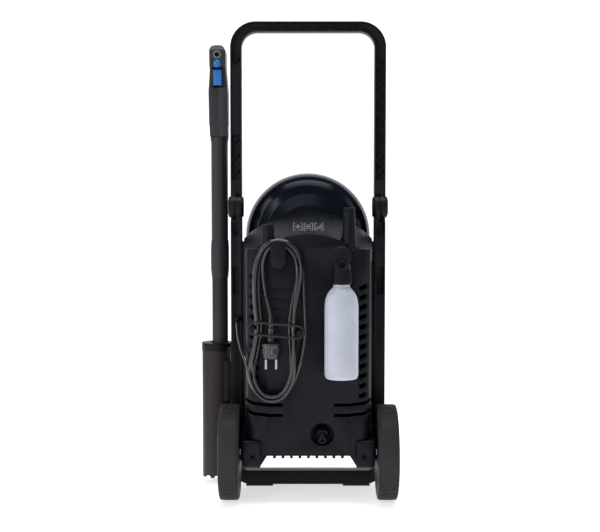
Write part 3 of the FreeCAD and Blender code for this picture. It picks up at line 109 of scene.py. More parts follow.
class WasherColours(bpy.types.PropertyGroup):
    body: colour("Body", "Grained plastic of the shells", (0.0036, 0.0043, 0.0068))
    tub: colour("Tub", "Polished plastic of the reel tub", (0.0022, 0.0032, 0.0075))
    trolley: colour("Trolley", "Rails, foot bar and push handle", (0.0042, 0.0045, 0.0056))
    wheel: colour("Wheel", "Wheels and their treads", (0.0350, 0.0345, 0.0360))
    lance: colour("Lance", "Lance tubes and gun", (0.0225, 0.0227, 0.0250))
    holder: colour("Holder", "Tube that the lance stands in", (0.0270, 0.0205, 0.0225))
    trigger: colour("Trigger", "Trigger and its lock", (0.0, 0.110, 0.385))
    bottle: colour("Bottle", "Milky foam bottle", (0.60, 0.63, 0.79))
    cord: colour("Cord", "Sheath of the mains lead", (0.0085, 0.0085, 0.0092))


class WasherSizes(bpy.types.PropertyGroup):
    cord_diameter: length("Cord diameter", "Outside of the mains lead", 0.0072)
    tread_count: IntProperty(name="Tread ribs", description="Cross ribs round each wheel", default=132,
                             min=12)
    truss_pitch: length("Truss pitch", "From one rib to the next in the handle's channel", 0.0155)
    bottle_wall: length("Bottle wall", "Thickness of the foam bottle", 0.0015)


# ---------------------------------------------------------------- shader groups and finishes

def socket(tree, name, kind, direction, value=None):
    made = tree.interface.new_socket(name, in_out=direction, socket_type=kind)
    if value is not None:
        made.default_value = value
    return made


def grain_group():
    """Moulded grain: a fine pebble height, a slow mottle of the shade and a slow change of the roughness."""
    tree = bpy.data.node_groups.new("moulded_grain", "ShaderNodeTree")
    socket(tree, "Pebble", "NodeSocketFloat", "INPUT", 900.0)
    socket(tree, "Mottle", "NodeSocketFloat", "INPUT", 14.0)
    socket(tree, "Roughness", "NodeSocketFloat", "INPUT", 0.4)
    socket(tree, "Colour", "NodeSocketColor", "INPUT", (0.01, 0.01, 0.01, 1))
    socket(tree, "Colour", "NodeSocketColor", "OUTPUT")
    socket(tree, "Roughness", "NodeSocketFloat", "OUTPUT")
    socket(tree, "Height", "NodeSocketFloat", "OUTPUT")
    nodes, links = tree.nodes, tree.links
    given, out = nodes.new("NodeGroupInput"), nodes.new("NodeGroupOutput")
    place = nodes.new("ShaderNodeTexCoord")
    pebble, mottle = nodes.new("ShaderNodeTexNoise"), nodes.new("ShaderNodeTexNoise")
    pebble.inputs["Detail"].default_value = 2
    mottle.inputs["Detail"].default_value = 4
    for noise, name in ((pebble, "Pebble"), (mottle, "Mottle")):
        links.new(place.outputs["Object"], noise.inputs["Vector"])
        links.new(given.outputs[name], noise.inputs["Scale"])
    shade = nodes.new("ShaderNodeMapRange")
    shade.inputs["To Min"].default_value = 0.82
    shade.inputs["To Max"].default_value = 1.22
    links.new(mottle.outputs["Fac"], shade.inputs["Value"])
    mix = nodes.new("ShaderNodeVectorMath")
    mix.operation = "SCALE"
    links.new(given.outputs["Colour"], mix.inputs[0])
    links.new(shade.outputs["Result"], mix.inputs["Scale"])
    links.new(mix.outputs["Vector"], out.inputs["Colour"])
    spread = nodes.new("ShaderNodeMapRange")
    spread.inputs["To Min"].default_value = -0.07
    spread.inputs["To Max"].default_value = 0.09
    links.new(mottle.outputs["Fac"], spread.inputs["Value"])
    rough = nodes.new("ShaderNodeMath")
    rough.operation = "ADD"
    links.new(given.outputs["Roughness"], rough.inputs[0])
    links.new(spread.outputs["Result"], rough.inputs[1])
    links.new(rough.outputs["Value"], out.inputs["Roughness"])
    links.new(pebble.outputs["Fac"], out.inputs["Height"])
    return tree


def dust_group():
    """Sparse fine specks and a haze that gathers low on the machine, as one mask."""
    tree = bpy.data.node_groups.new("floor_dust", "ShaderNodeTree")
    socket(tree, "Amount", "NodeSocketFloat", "INPUT", 0.1)
    socket(tree, "Reach", "NodeSocketFloat", "INPUT", 0.35)
    socket(tree, "Mask", "NodeSocketFloat", "OUTPUT")
    nodes, links = tree.nodes, tree.links
    given, out = nodes.new("NodeGroupInput"), nodes.new("NodeGroupOutput")
    place, parts = nodes.new("ShaderNodeTexCoord"), nodes.new("ShaderNodeSeparateXYZ")
    links.new(place.outputs["Object"], parts.inputs["Vector"])
    low = nodes.new("ShaderNodeMapRange")
    low.inputs["From Min"].default_value = 0.0
    low.inputs["To Min"].default_value = 1.0
    low.inputs["To Max"].default_value = 0.15
    links.new(parts.outputs["Z"], low.inputs["Value"])
    links.new(given.outputs["Reach"], low.inputs["From Max"])
    specks = nodes.new("ShaderNodeTexNoise")
    specks.inputs["Scale"].default_value = 260
    specks.inputs["Detail"].default_value = 6
    links.new(place.outputs["Object"], specks.inputs["Vector"])
    sharp = nodes.new("ShaderNodeMapRange")
    sharp.inputs["From Min"].default_value = 0.52
    sharp.inputs["From Max"].default_value = 0.74
    links.new(specks.outputs["Fac"], sharp.inputs["Value"])
    both, scaled = nodes.new("ShaderNodeMath"), nodes.new("ShaderNodeMath")
    both.operation = scaled.operation = "MULTIPLY"
    links.new(low.outputs["Result"], both.inputs[0])
    links.new(sharp.outputs["Result"], both.inputs[1])
    links.new(both.outputs["Value"], scaled.inputs[0])
    links.new(given.outputs["Amount"], scaled.inputs[1])
    links.new(scaled.outputs["Value"], out.inputs["Mask"])
    return tree


DUST_COLOUR = (0.055, 0.054, 0.053, 1)
COAT_ROUGHNESS = 0.08
GRAIN_STRENGTH = 0.6


def finish(name, shade, roughness, pebble=900.0, depth=0.00002, mottle=14.0, dust=0.06, specular=0.14,
           coat=0.0, metal=0.0):
    """A material with moulded grain and a little dust on a plain Principled shader."""
    if name in bpy.data.materials:
        return bpy.data.materials[name]
    material = bpy.data.materials.new(name)
    material.use_nodes = True
    nodes, links = material.node_tree.nodes, material.node_tree.links
    shader = nodes["Principled BSDF"]
    shader.inputs["Specular IOR Level"].default_value = specular
    shader.inputs["Coat Weight"].default_value = coat
    shader.inputs["Coat Roughness"].default_value = COAT_ROUGHNESS
    shader.inputs["Metallic"].default_value = metal
    grain = nodes.new("ShaderNodeGroup")
    grain.node_tree = bpy.data.node_groups.get("moulded_grain") or grain_group()
    grain.inputs["Pebble"].default_value = pebble
    grain.inputs["Mottle"].default_value = mottle
    grain.inputs["Roughness"].default_value = roughness
    grain.inputs["Colour"].default_value = (*shade, 1)
    settled = nodes.new("ShaderNodeGroup")
    settled.node_tree = bpy.data.node_groups.get("floor_dust") or dust_group()
    settled.inputs["Amount"].default_value = dust
    dusted = nodes.new("ShaderNodeMix")
    dusted.data_type = "RGBA"
    dusted.inputs["B"].default_value = DUST_COLOUR
    links.new(settled.outputs["Mask"], dusted.inputs["Factor"])
    links.new(grain.outputs["Colour"], dusted.inputs["A"])
    links.new(dusted.outputs["Result"], shader.inputs["Base Color"])
    links.new(grain.outputs["Roughness"], shader.inputs["Roughness"])
    bump = nodes.new("ShaderNodeBump")
    bump.inputs["Strength"].default_value = GRAIN_STRENGTH
    bump.inputs["Distance"].default_value = depth
    links.new(grain.outputs["Height"], bump.inputs["Height"])
    links.new(bump.outputs["Normal"], shader.inputs["Normal"])
    return material


def finishes():
    """Every finish of the machine by a maker's name."""
    tone = bpy.context.scene.washer_colours
    return {
        "shell": finish("grained_shell", tone.body, 0.42, depth=0.00003, specular=0.16),
        "tub": finish("polished_tub", tone.tub, 0.17, pebble=60, depth=0.00001, dust=0.0, specular=0.13),
        "trolley": finish("satin_trolley", tone.trolley, 0.40, depth=0.00002, specular=0.16),
        "wheel": finish("wheel_plastic", tone.wheel, 0.50, depth=0.00003, dust=0.2, specular=0.16),
        "knob": finish("knob_plastic", tone.body, 0.45, depth=0.00003, specular=0.2),
        "lance": finish("lance_plastic", tone.lance, 0.36, depth=0.00002, specular=0.22),
        "holder": finish("holder_plastic", tone.holder, 0.45, depth=0.00002, specular=0.18),
        "trigger": finish("trigger_gloss", tone.trigger, 0.25, depth=0.00001, dust=0.0, specular=0.5),
        "cord": finish("cord_sheath", tone.cord, 0.15, pebble=500, depth=0.000004, dust=0.02, specular=0.7),
        "strap": finish("strap_rubber", tone.cord, 0.45, pebble=1400, depth=0.00004, dust=0.05),
        "foot": finish("foot_rubber", tone.cord, 0.75, depth=0.00006, dust=0.4, specular=0.2),
        "steel": finish("ground_steel", (0.52, 0.52, 0.53), 0.30, pebble=1600, dust=0.0, metal=1.0,
                        specular=0.5),
        "plated": finish("plated_pin", (0.40, 0.40, 0.40), 0.32, pebble=1600, depth=0.00001, dust=0.0,
                         metal=1.0),
        "alloy": finish("cast_alloy", (0.42, 0.42, 0.43), 0.5, pebble=420, depth=0.0001, dust=0.0, metal=1.0),
        "enamel": finish("motor_enamel", (0.05, 0.052, 0.055), 0.35, coat=0.3),
        "brass": finish("turned_brass", (0.62, 0.45, 0.16), 0.25, dust=0.0, metal=1.0),
        "inner": finish("inner_plastic", (0.06, 0.06, 0.06), 0.5),
        # raised signs: their grey, far lighter than the shell, is painted highlight for light catching the
        # embossed bars
        "sign": finish("raised_sign", (0.20, 0.205, 0.215), 0.5, dust=0.0),
    }


def bottle_finish():
    """Milky blow-moulded plastic: light goes a little way in, and the wall is clouded unevenly."""
    material = finish("milky_bottle", bpy.context.scene.washer_colours.bottle, 0.34, pebble=300,
                      depth=0.00003, mottle=24, dust=0.0, specular=0.5)
    shader = material.node_tree.nodes["Principled BSDF"]
    shader.inputs["Subsurface Weight"].default_value = 0.55
    shader.inputs["Subsurface Radius"].default_value = (0.02, 0.02, 0.024)
    shader.inputs["Subsurface Scale"].default_value = 1.0
    return material


# ---------------------------------------------------------------- mesh helpers

def piece(name, mesh, material, body, *replaced):
    """Links a finished mesh, gives it its finish and hands it to a CAD body."""
    thing = bpy.data.objects.new(name, mesh)
    bpy.context.scene.collection.objects.link(thing)
    mesh.materials.clear()
    mesh.materials.append(material)
    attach(thing, body)
    if replaced:
        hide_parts(*replaced)
    return thing


def mesh_of(name, build):
    """A mesh filled by build(bm), with doubles merged and its faces turned outward."""
    bm = bmesh.new()
    build(bm)
    bmesh.ops.remove_doubles(bm, verts=bm.verts, dist=MERGE)
    bmesh.ops.recalc_face_normals(bm, faces=bm.faces)
    mesh = bpy.data.meshes.new(name)
    bm.to_mesh(mesh)
    bm.free()
    return mesh


def smooth(mesh, angle=35.0):
    """Soft shading, with edges kept crisp where faces meet at more than the angle."""
    mesh.shade_smooth()
    mesh.set_sharp_from_angle(angle=math.radians(angle))
    return mesh


def axes_along(axis):
    """Two directions square to an axis, and the axis itself."""
    third = Vector(axis).normalized()
    first = third.orthogonal().normalized() if abs(third.x) < 0.9 else Y_AXIS.copy()
    return first, third.cross(first).normalized(), third


def lathe(bm, centre, axis, profile, segments=96):
    """Turns (radius, height) points about an axis.

    A profile that starts and ends off the axis is closed into a ring, and a point at radius 0 is a pole.
    """
    first, second, third = axes_along(axis)
    rings = []
    for radius, height in profile:
        middle = centre + third * height
        if radius == 0:
            rings.append([bm.verts.new(middle)])
        else:
            rings.append([bm.verts.new(middle + (first * math.cos(TURN * k / segments)
                                                 + second * math.sin(TURN * k / segments)) * radius)
                          for k in range(segments)])
    pairs = list(zip(rings, rings[1:]))
    if profile[0][0] and profile[-1][0]:
        pairs.append((rings[-1], rings[0]))
    for low, high in pairs:
        for k in range(segments):
            after = (k + 1) % segments
            corners = [low[k % len(low)], low[after % len(low)], high[after % len(high)], high[k % len(high)]]
            corners = list(dict.fromkeys(corners))
            if len(corners) > 2:
                bm.faces.new(corners)


def rounded(points, radius, steps=5):
    """A profile with each inner corner rounded by an arc; radius is one number or a table by point number."""
    result = [points[0]]
    for number, (before, corner, after) in enumerate(zip(points, points[1:], points[2:]), start=1):
        size = radius.get(number, 0) if isinstance(radius, dict) else radius
        corner_point = Vector(corner)
        into, out = Vector(before) - corner_point, Vector(after) - corner_point
        if not size or into.length < 1e-9 or out.length < 1e-9:
            result.append(corner)
            continue
        half = into.angle(out) / 2
        reach = min(size / math.tan(half), 0.49 * into.length, 0.49 * out.length)
        start, end = corner_point + into.normalized() * reach, corner_point + out.normalized() * reach
        for step in range(steps + 1):
            part = step / steps
            blend = start.lerp(corner_point, part).lerp(corner_point.lerp(end, part), part)
            result.append(tuple(blend))
    result.append(points[-1])
    return result


def block(bm, low, high):
    """A box between two corners."""
    for vertex in bmesh.ops.create_cube(bm, size=1)["verts"]:
        vertex.co = Vector([low[k] + (vertex.co[k] + 0.5) * (high[k] - low[k]) for k in range(3)])


EDGE_ANGLE, FLAT_ANGLE = math.radians(30), math.radians(1)


def bevelled(thing, width):
    """The piece with its edges rounded for good, as a plain shaded mesh."""
    modifier = thing.modifiers.new("edge_round", "BEVEL")
    modifier.width = width
    modifier.segments = 2
    modifier.limit_method = "ANGLE"
    modifier.angle_limit = EDGE_ANGLE
    modifier.harden_normals = False
    modifier.use_clamp_overlap = True
    mesh = bpy.data.meshes.new_from_object(thing.evaluated_get(bpy.context.evaluated_depsgraph_get()))
    mesh.name = thing.name
    thing.modifiers.clear()
    old, thing.data = thing.data, mesh
    if old.users == 0:
        bpy.data.meshes.remove(old)
    smooth(mesh)
    return thing


def refined(node, material, bevel):
    """A merged copy of a CAD node with softened edges, which stands for the node."""
    source = NODES[node]
    name = f"{node}_skin"
    bm = bmesh.new()
    bm.from_mesh(source.data)
    bmesh.ops.remove_doubles(bm, verts=bm.verts, dist=MERGE)
    bmesh.ops.dissolve_limit(bm, angle_limit=FLAT_ANGLE, verts=bm.verts, edges=bm.edges)
    mesh = bpy.data.meshes.new(name)
    bm.to_mesh(mesh)
    bm.free()
    return bevelled(piece(name, mesh, material, source["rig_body"], node), bevel)


# ---------------------------------------------------------------- geometry node trees

def tree_with(name, inputs):
    """An empty Geometry Nodes tree with named inputs and its group nodes."""
    tree = bpy.data.node_groups.new(name, "GeometryNodeTree")
    for label, kind, value in inputs:
        socket(tree, label, kind, "INPUT", value)
    socket(tree, "Geometry", "NodeSocketGeometry", "OUTPUT")
    return tree, tree.nodes.new("NodeGroupInput"), tree.nodes.new("NodeGroupOutput")


def ring_tree():
    """Copies of an object set round a circle about Z, each turned with the circle."""
    name = "ring_of_copies"
    if name in bpy.data.node_groups:
        return bpy.data.node_groups[name]
    tree, given, out = tree_with(name, (("Copy", "NodeSocketObject", None), ("Count", "NodeSocketInt", 12),
                                        ("Start", "NodeSocketFloat", 0.0),
                                        ("Finish", "NodeSocketMaterial", None)))
    nodes, links = tree.nodes, tree.links
    line, index = nodes.new("GeometryNodeMeshLine"), nodes.new("GeometryNodeInputIndex")
    line.inputs["Offset"].default_value = (0, 0, 0)
    step, angle, start = (nodes.new("ShaderNodeMath") for _ in range(3))
    step.operation, angle.operation, start.operation = "DIVIDE", "MULTIPLY", "ADD"
    step.inputs[0].default_value = TURN
    links.new(given.outputs["Count"], line.inputs["Count"])
    links.new(given.outputs["Count"], step.inputs[1])
    links.new(step.outputs[0], angle.inputs[0])
    links.new(index.outputs[0], angle.inputs[1])
    links.new(angle.outputs[0], start.inputs[0])
    links.new(given.outputs["Start"], start.inputs[1])
    turn, copy = nodes.new("ShaderNodeCombineXYZ"), nodes.new("GeometryNodeObjectInfo")
    links.new(start.outputs[0], turn.inputs["Z"])
    links.new(given.outputs["Copy"], copy.inputs["Object"])
    place = nodes.new("GeometryNodeInstanceOnPoints")
    links.new(line.outputs["Mesh"], place.inputs["Points"])
    links.new(copy.outputs["Geometry"], place.inputs["Instance"])
    links.new(turn.outputs[0], place.inputs["Rotation"])
    finish_tree(tree, place.outputs["Instances"], given, out)
    return tree


def row_tree():
    """Copies of an object along a straight row; every second one leans the other way, as a truss needs."""
    name = "row_of_copies"
    if name in bpy.data.node_groups:
        return bpy.data.node_groups[name]
    tree, given, out = tree_with(name, (("Copy", "NodeSocketObject", None), ("Count", "NodeSocketInt", 12),
                                        ("Step", "NodeSocketVector", (0, 0, 0.01)),
                                        ("Lean", "NodeSocketVector", (0, 0, 0)),
                                        ("Finish", "NodeSocketMaterial", None)))
    nodes, links = tree.nodes, tree.links
    line, index = nodes.new("GeometryNodeMeshLine"), nodes.new("GeometryNodeInputIndex")
    links.new(given.outputs["Count"], line.inputs["Count"])
    links.new(given.outputs["Step"], line.inputs["Offset"])
    odd, sign = nodes.new("ShaderNodeMath"), nodes.new("ShaderNodeMapRange")
    odd.operation = "MODULO"
    odd.inputs[1].default_value = 2
    sign.inputs["To Min"].default_value = 1
    sign.inputs["To Max"].default_value = -1
    links.new(index.outputs[0], odd.inputs[0])
    links.new(odd.outputs[0], sign.inputs["Value"])
    turn, copy = nodes.new("ShaderNodeVectorMath"), nodes.new("GeometryNodeObjectInfo")
    turn.operation = "SCALE"
    links.new(given.outputs["Lean"], turn.inputs[0])
    links.new(sign.outputs["Result"], turn.inputs["Scale"])
    links.new(given.outputs["Copy"], copy.inputs["Object"])
    place = nodes.new("GeometryNodeInstanceOnPoints")
    links.new(line.outputs["Mesh"], place.inputs["Points"])
    links.new(copy.outputs["Geometry"], place.inputs["Instance"])
    links.new(turn.outputs["Vector"], place.inputs["Rotation"])
    finish_tree(tree, place.outputs["Instances"], given, out)
    return tree


def finish_tree(tree, instances, given, out):
    """Ends a tree with real geometry and one finish."""
    real, paint = tree.nodes.new("GeometryNodeRealizeInstances"), tree.nodes.new("GeometryNodeSetMaterial")
    tree.links.new(instances, real.inputs["Geometry"])
    tree.links.new(real.outputs["Geometry"], paint.inputs["Geometry"])
    tree.links.new(given.outputs["Finish"], paint.inputs["Material"])
    tree.links.new(paint.outputs["Geometry"], out.inputs[0])


def grown(name, tree, copy_mesh, material, place, **values):
    """The plain mesh that a tree grows from one copied mesh, moved to its place by a matrix."""
    holder = bpy.data.objects.new(name, bpy.data.meshes.new(name))
    copied = bpy.data.objects.new(f"{name}_copy", copy_mesh)
    for thing in (holder, copied):
        bpy.context.scene.collection.objects.link(thing)
    modifier = holder.modifiers.new("grow", "NODES")
    modifier.node_group = tree
    given = {item.name: item.identifier for item in tree.interface.items_tree if item.in_out == "INPUT"}
    for label, value in {"Copy": copied, "Finish": material, **values}.items():
        modifier[given[label]] = value
    depsgraph = bpy.context.evaluated_depsgraph_get()
    mesh = bpy.data.meshes.new_from_object(holder.evaluated_get(depsgraph))
    bpy.data.objects.remove(holder)
    bpy.data.objects.remove(copied)
    mesh.transform(place)
    mesh.name = name
    return mesh


def placed(origin, axis=Z_AXIS, across=None):
    """A matrix that puts an origin somewhere and turns Z to an axis."""
    first, second, third = axes_along(axis)
    if across is not None:
        first = Vector(across).normalized()
        second = third.cross(first)
    turn = Matrix((first, second, third)).transposed().to_4x4()
    return Matrix.Translation(origin) @ turn


def joined(name, *meshes):
    """One mesh out of several."""
    bm = bmesh.new()
    for mesh in meshes:
        bm.from_mesh(mesh)
    result = bpy.data.meshes.new(name)
    bm.to_mesh(result)
    bm.free()
    return result


# ---------------------------------------------------------------- operators

class WASHER_OT_cord(bpy.types.Operator):
    """Mains lead from its gland, wound four times into a hank and led to the plug"""
    bl_idname = "washer.cord"
    bl_label = "Mains lead"

    # the stretch from the gland down to the hank
    LEAD_IN = ((139, -82, 336), (139, -64, 336), (138, -46, 330), (136, -28, 320), (133, -9, 308),
               (129, 10, 297), (124, 28, 286), (118, 43, 275), (113, 52, 262))
    # the outermost turn, from its lower left round the bottom and up the right side to the hook and down again
    TURN_LINE = ((111.5, 246), (104, 221), (88, 202.5), (68, 196.5), (46, 204), (29, 228), (16, 266),
                 (6.5, 312), (6.5, 352), (9, 410), (10.5, 448), (18.5, 477), (35, 495), (57, 501), (78, 494),
                 (94, 472), (102, 437), (101, 388), (95.5, 338), (101, 300), (109, 271))
    # the line inside the hank that every turn is drawn in towards
    SPINE = (Vector((62, 250)), Vector((57, 440)))
    # how far in each turn lies, how far its right side is drawn in at the strap, and how far back it lies
    TURNS = ((0.0, 0.0, 53.0), (1.5, 21.0, 60.4), (8.4, 21.0, 53.6), (9.4, 12.0, 61.0))
    DRAWN_IN = {6: 0.35, 7: 1.0, 8: 1.0, 9: 0.35}
    # the last turn leaves its line at this point and hangs down to the plug
    LAST_POINT = 15
    PLUG_END = ((86, 59, 460), (84, 58, 430), (80, 58.5, 402), (75, 60, 380), (70.5, 61.3, 366),
                (69.5, 61.5, 350))
    LAID_LENGTH = 2.73

    def route(self):
        points = [at(*point) for point in self.LEAD_IN]
        low, high = self.SPINE
        for number, (inset, draw, back) in enumerate(self.TURNS):
            count = self.LAST_POINT if number == len(self.TURNS) - 1 else len(self.TURN_LINE)
            for index, (x, z) in enumerate(self.TURN_LINE[:count]):
                spot = Vector((x, z))
                along = max(0.0, min(1.0, (spot - low).dot(high - low) / (high - low).length_squared))
                inward = (low.lerp(high, along) - spot).normalized()
                spot += inward * (inset + draw * self.DRAWN_IN.get(index, 0))
                points.append(at(spot.x, back, spot.y))
        return points + [at(*point) for point in self.PLUG_END]

    def execute(self, context):
        diameter = context.scene.washer_sizes.cord_diameter
        curve = bpy.data.curves.new("mains_lead", "CURVE")
        curve.dimensions = "3D"
        spline = curve.splines.new("NURBS")
        points = self.route()
        spline.points.add(len(points) - 1)
        for point, spot in zip(spline.points, points):
            point.co = (*spot, 1)
        spline.order_u = 3
        spline.use_endpoint_u = True
        spline.resolution_u = 8
        curve.bevel_depth = diameter / 2
        curve.bevel_resolution = 5
        curve.use_fill_caps = True
        lead = bpy.data.objects.new("mains_lead", curve)
        context.scene.collection.objects.link(lead)
        curve.materials.append(finishes()["cord"])
        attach(lead, "trolley")
        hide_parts("power_cord_tube", "power_cord_hank")
        return {"FINISHED"}


class WASHER_OT_plug(bpy.types.Operator):
    """Moulded plug with a fluted grip and a ringed strain relief"""
    bl_idname = "washer.plug"
    bl_label = "Plug"

    # radius and height of the plug's outline, from its face up to where the lead goes in
    BODY = ((0, 279), (14.0, 279), (16.6, 281.5), (17.2, 290), (16.8, 300), (18.2, 304), (18.2, 308.5),
            (14, 310.5), (7.6, 312), (6.8, 318), (8.2, 321), (8.2, 325), (6.6, 328), (6.5, 331), (7.6, 333),
            (7.6, 336), (6.2, 338.5), (6.1, 341.5), (6.9, 343), (6.9, 346), (5.7, 348), (5.3, 356),
            (3.5, 356), (0, 352))
    GRIP_LOW, GRIP_HIGH, GRIP_CORE = 284 * MM, 300 * MM, 10 * MM
    FLUTES, FLUTE_DEPTH = 24, 0.045

    def execute(self, context):
        centre = at(69.5, 61.5, 0)

        def solid(bm):
            lathe(bm, centre, Z_AXIS, [(r * MM, z * MM) for r, z in rounded(self.BODY, 0.9, 3)])
        mesh = mesh_of("plug_body", solid)
        for vertex in mesh.vertices:
            flat = Vector((vertex.co.x - centre.x, vertex.co.y - centre.y))
            if self.GRIP_LOW < vertex.co.z < self.GRIP_HIGH and flat.length > self.GRIP_CORE:
                turned = self.FLUTES * math.atan2(flat.y, flat.x)
                wave = 1 - self.FLUTE_DEPTH * (0.5 + 0.5 * math.cos(turned))
                vertex.co.x, vertex.co.y = centre.x + flat.x * wave, centre.y + flat.y * wave
        plug = piece("plug_body", smooth(mesh), finishes()["cord"], "trolley", "power_plug")
        dress("plug_pins", "plated")
        return {"FINISHED"}


def dress(node, finish_name):
    """Gives a CAD node that stays in sight its finish."""
    thing = NODES[node]
    material = finishes()[finish_name]
    if not thing.material_slots:
        thing.data.materials.append(material)
    for place in thing.material_slots:
        place.material = material


def skinned(nodes, finish_name, bevel):
    """Softened copies of several CAD nodes in one finish."""
    for node in nodes:
        thing = refined(node, finishes()[finish_name], bevel * MM)


class WASHER_OT_trolley(bpy.types.Operator):
    """Rails, foot bar, pads and the brackets that carry the wheels"""
    bl_idname = "washer.trolley"
    bl_label = "Trolley"

    def execute(self, context):
        skinned(("side_rail_left", "side_rail_right", "foot_bar"), "trolley", 1.2)
        skinned(("axle_bracket_left", "axle_bracket_right"), "shell", 1.2)
        skinned(("foot_pads",), "foot", 0.8)
        for node in ("axle", "axle_clips"):
            dress(node, "steel")
        dress("bracket_screws", "knob")
        skinned(("hinge_pins",), "knob", 1.5)
        return {"FINISHED"}


class WASHER_OT_wheels(bpy.types.Operator):
    """Dished wheels with a fine cross-ribbed tread and six webs"""
    bl_idname = "washer.wheels"
    bl_label = "Wheels"

    INNER_FACE, AXLE_HIGH, RADIUS = 131, 91, 90
    # radius and distance from the inner face: the whole section, and the line that the ribs follow
    SECTION = ((6.05, 0.4), (24, 0.4), (25, 0), (84, 0), (89.6, 4.6), (89.9, 19), (89.6, 33.4), (84, 38),
               (70, 38), (67, 36.5), (65, 30), (34, 29), (26, 31), (24.5, 37.4), (11, 38), (10.4, 36.6),
               (6.05, 36.6))
    CORNERS = {3: 3, 4: 3, 6: 3, 7: 3, 8: 1.5, 10: 3, 12: 4, 13: 1}
    CROWN = ((84.6, 0.2), (87.6, 1.2), (89.3, 3.4), (89.7, 8), (89.8, 19), (89.7, 30), (89.3, 34.6),
             (87.6, 36.8), (84.6, 37.8))
    RIB_SHARE, RIB_ROOT, RIB_RISE, RIB_END_RISE = 0.26, 1.4, 1.15, 0.4
    WEBS = 6

    def rib(self, count):
        """One cross rib, which follows the tyre's shoulders."""
        half = self.RIB_SHARE * TURN * self.RADIUS / count

        def build(bm):
            rows = []
            for number, (radius, height) in enumerate(self.CROWN):
                root = radius - self.RIB_ROOT
                top = radius + (self.RIB_END_RISE if number in (0, len(self.CROWN) - 1) else self.RIB_RISE)
                outline = (root, -half), (top, -half * 0.8), (top, half * 0.8), (root, half)
                rows.append([bm.verts.new(Vector((r, y, height)) * MM) for r, y in outline])
            for low, high in zip(rows, rows[1:]):
                for k in range(4):
                    bm.faces.new((low[k], low[(k + 1) % 4], high[(k + 1) % 4], high[k]))
            bm.faces.new(rows[0])
            bm.faces.new(rows[-1])
        return mesh_of("tread_rib", build)

    def web(self):
        """One radial web of the dished face, wider and higher towards the rim."""
        def build(bm):
            low = ((33, -4.5), (66, -7.5), (66, 7.5), (33, 4.5))
            high = ((32, -2.6), (66, -4.4), (66, 4.4), (32, 2.6))
            base = [bm.verts.new(Vector((x, y, 28)) * MM) for x, y in low]
            top = [bm.verts.new(Vector((x, y, z)) * MM) for (x, y), z in zip(high, (33, 35.5, 35.5, 33))]
            bm.faces.new(base)
            bm.faces.new(top)
            for k in range(4):
                bm.faces.new((base[k], base[(k + 1) % 4], top[(k + 1) % 4], top[k]))
        return mesh_of("wheel_web", build)

    def execute(self, context):
        material = finishes()["wheel"]
        count = context.scene.washer_sizes.tread_count
        for side, sign in (("left", 1), ("right", -1)):
            place = placed(at(sign * self.INNER_FACE, 0, self.AXLE_HIGH), X_AXIS * sign, Y_AXIS)

            def turned(bm):
                profile = rounded(self.SECTION + self.SECTION[:1], self.CORNERS, 4)
                lathe(bm, Vector(), Z_AXIS, [(r * MM, z * MM) for r, z in profile[:-1]], 144)
            body = mesh_of("turned", turned)
            body.transform(place)
            ribs = grown("ribs", ring_tree(), self.rib(count), material, place, Count=count)
            webs = grown("webs", ring_tree(), self.web(), material, place, Count=self.WEBS,
                         Start=TURN / (2 * self.WEBS))
            thing = piece(f"wheel_{side}_body", outward(joined("wheel", body, ribs, webs)), material,
                          f"wheel_{side}", f"wheel_{side}")
        return {"FINISHED"}


def outward(mesh):
    """The mesh with its faces turned outward and soft shading."""
    bm = bmesh.new()
    bm.from_mesh(mesh)
    bmesh.ops.recalc_face_normals(bm, faces=bm.faces)
    bm.to_mesh(mesh)
    bm.free()
    return smooth(mesh)


class WASHER_OT_handle(bpy.types.Operator):
    """Push handle with the zigzag ribs of its open channel"""
    bl_idname = "washer.handle"
    bl_label = "Push handle"

    FLOOR, FACE = -103.5, -94.4          # the channel's floor and the level of the rib tops
    RIB_HALF = 0.9
    BLANK_DROP = 1.4                     # how far a closed stretch stays behind the rib tops
    # each run of ribs: its name, first rib, direction, number of ribs and the channel's width
    RUNS = (("left_low", (142, 628), (0, 1), 5, 16.0), ("left_high", (142, 846), (0, 1), 2, 16.0),
            ("right", (-142, 628), (0, 1), 15, 16.0), ("top", (-96, 912), (1, 0), 12, 14.0))
    # closed stretches of the channel, each from its low corner to its high one
    BLANKS = (((134.2, 702), (149.8, 838)), ((134.2, 690), (149.8, 692)), ((-149.8, 690), (-134.2, 692)))

    def rib(self, pitch, width):
        """A thin diagonal slab across the channel, standing on its floor."""
        reach = 0.5 * math.hypot(pitch, width)

        def build(bm):
            block(bm, Vector((-reach, self.FLOOR, -self.RIB_HALF)) * MM,
                  Vector((reach, self.FACE, self.RIB_HALF)) * MM)
        return mesh_of("truss_rib", build)

    def execute(self, context):
        material = finishes()["trolley"]
        pitch = context.scene.washer_sizes.truss_pitch / MM
        ribs = []
        for name, (x, z), (across, up), count, width in self.RUNS:
            lean = Vector((0, math.atan2(pitch, width), 0))
            step = Vector((across, 0, up)) * pitch * MM
            copy = self.rib(pitch, width)
            copy.transform(Matrix.Rotation(0 if up else math.pi / 2, 4, "Y"))
            ribs.append(grown(f"ribs_{name}", row_tree(), copy, material, Matrix.Translation(at(x, 0, z)),
                              Count=count, Step=step, Lean=lean))

        def blanks(bm):
            for low, high in self.BLANKS:
                block(bm, at(low[0], self.FLOOR, low[1]), at(high[0], self.FACE - self.BLANK_DROP, high[1]))
        skinned(("push_handle",), "trolley", 1.4)
        channel = joined("ribs", *ribs, mesh_of("channel_blanks", blanks))
        thing = piece("handle_ribs", outward(channel), material, "handle")
        skinned(("lock_knob_left", "lock_knob_right"), "knob", 0.8)
        return {"FINISHED"}


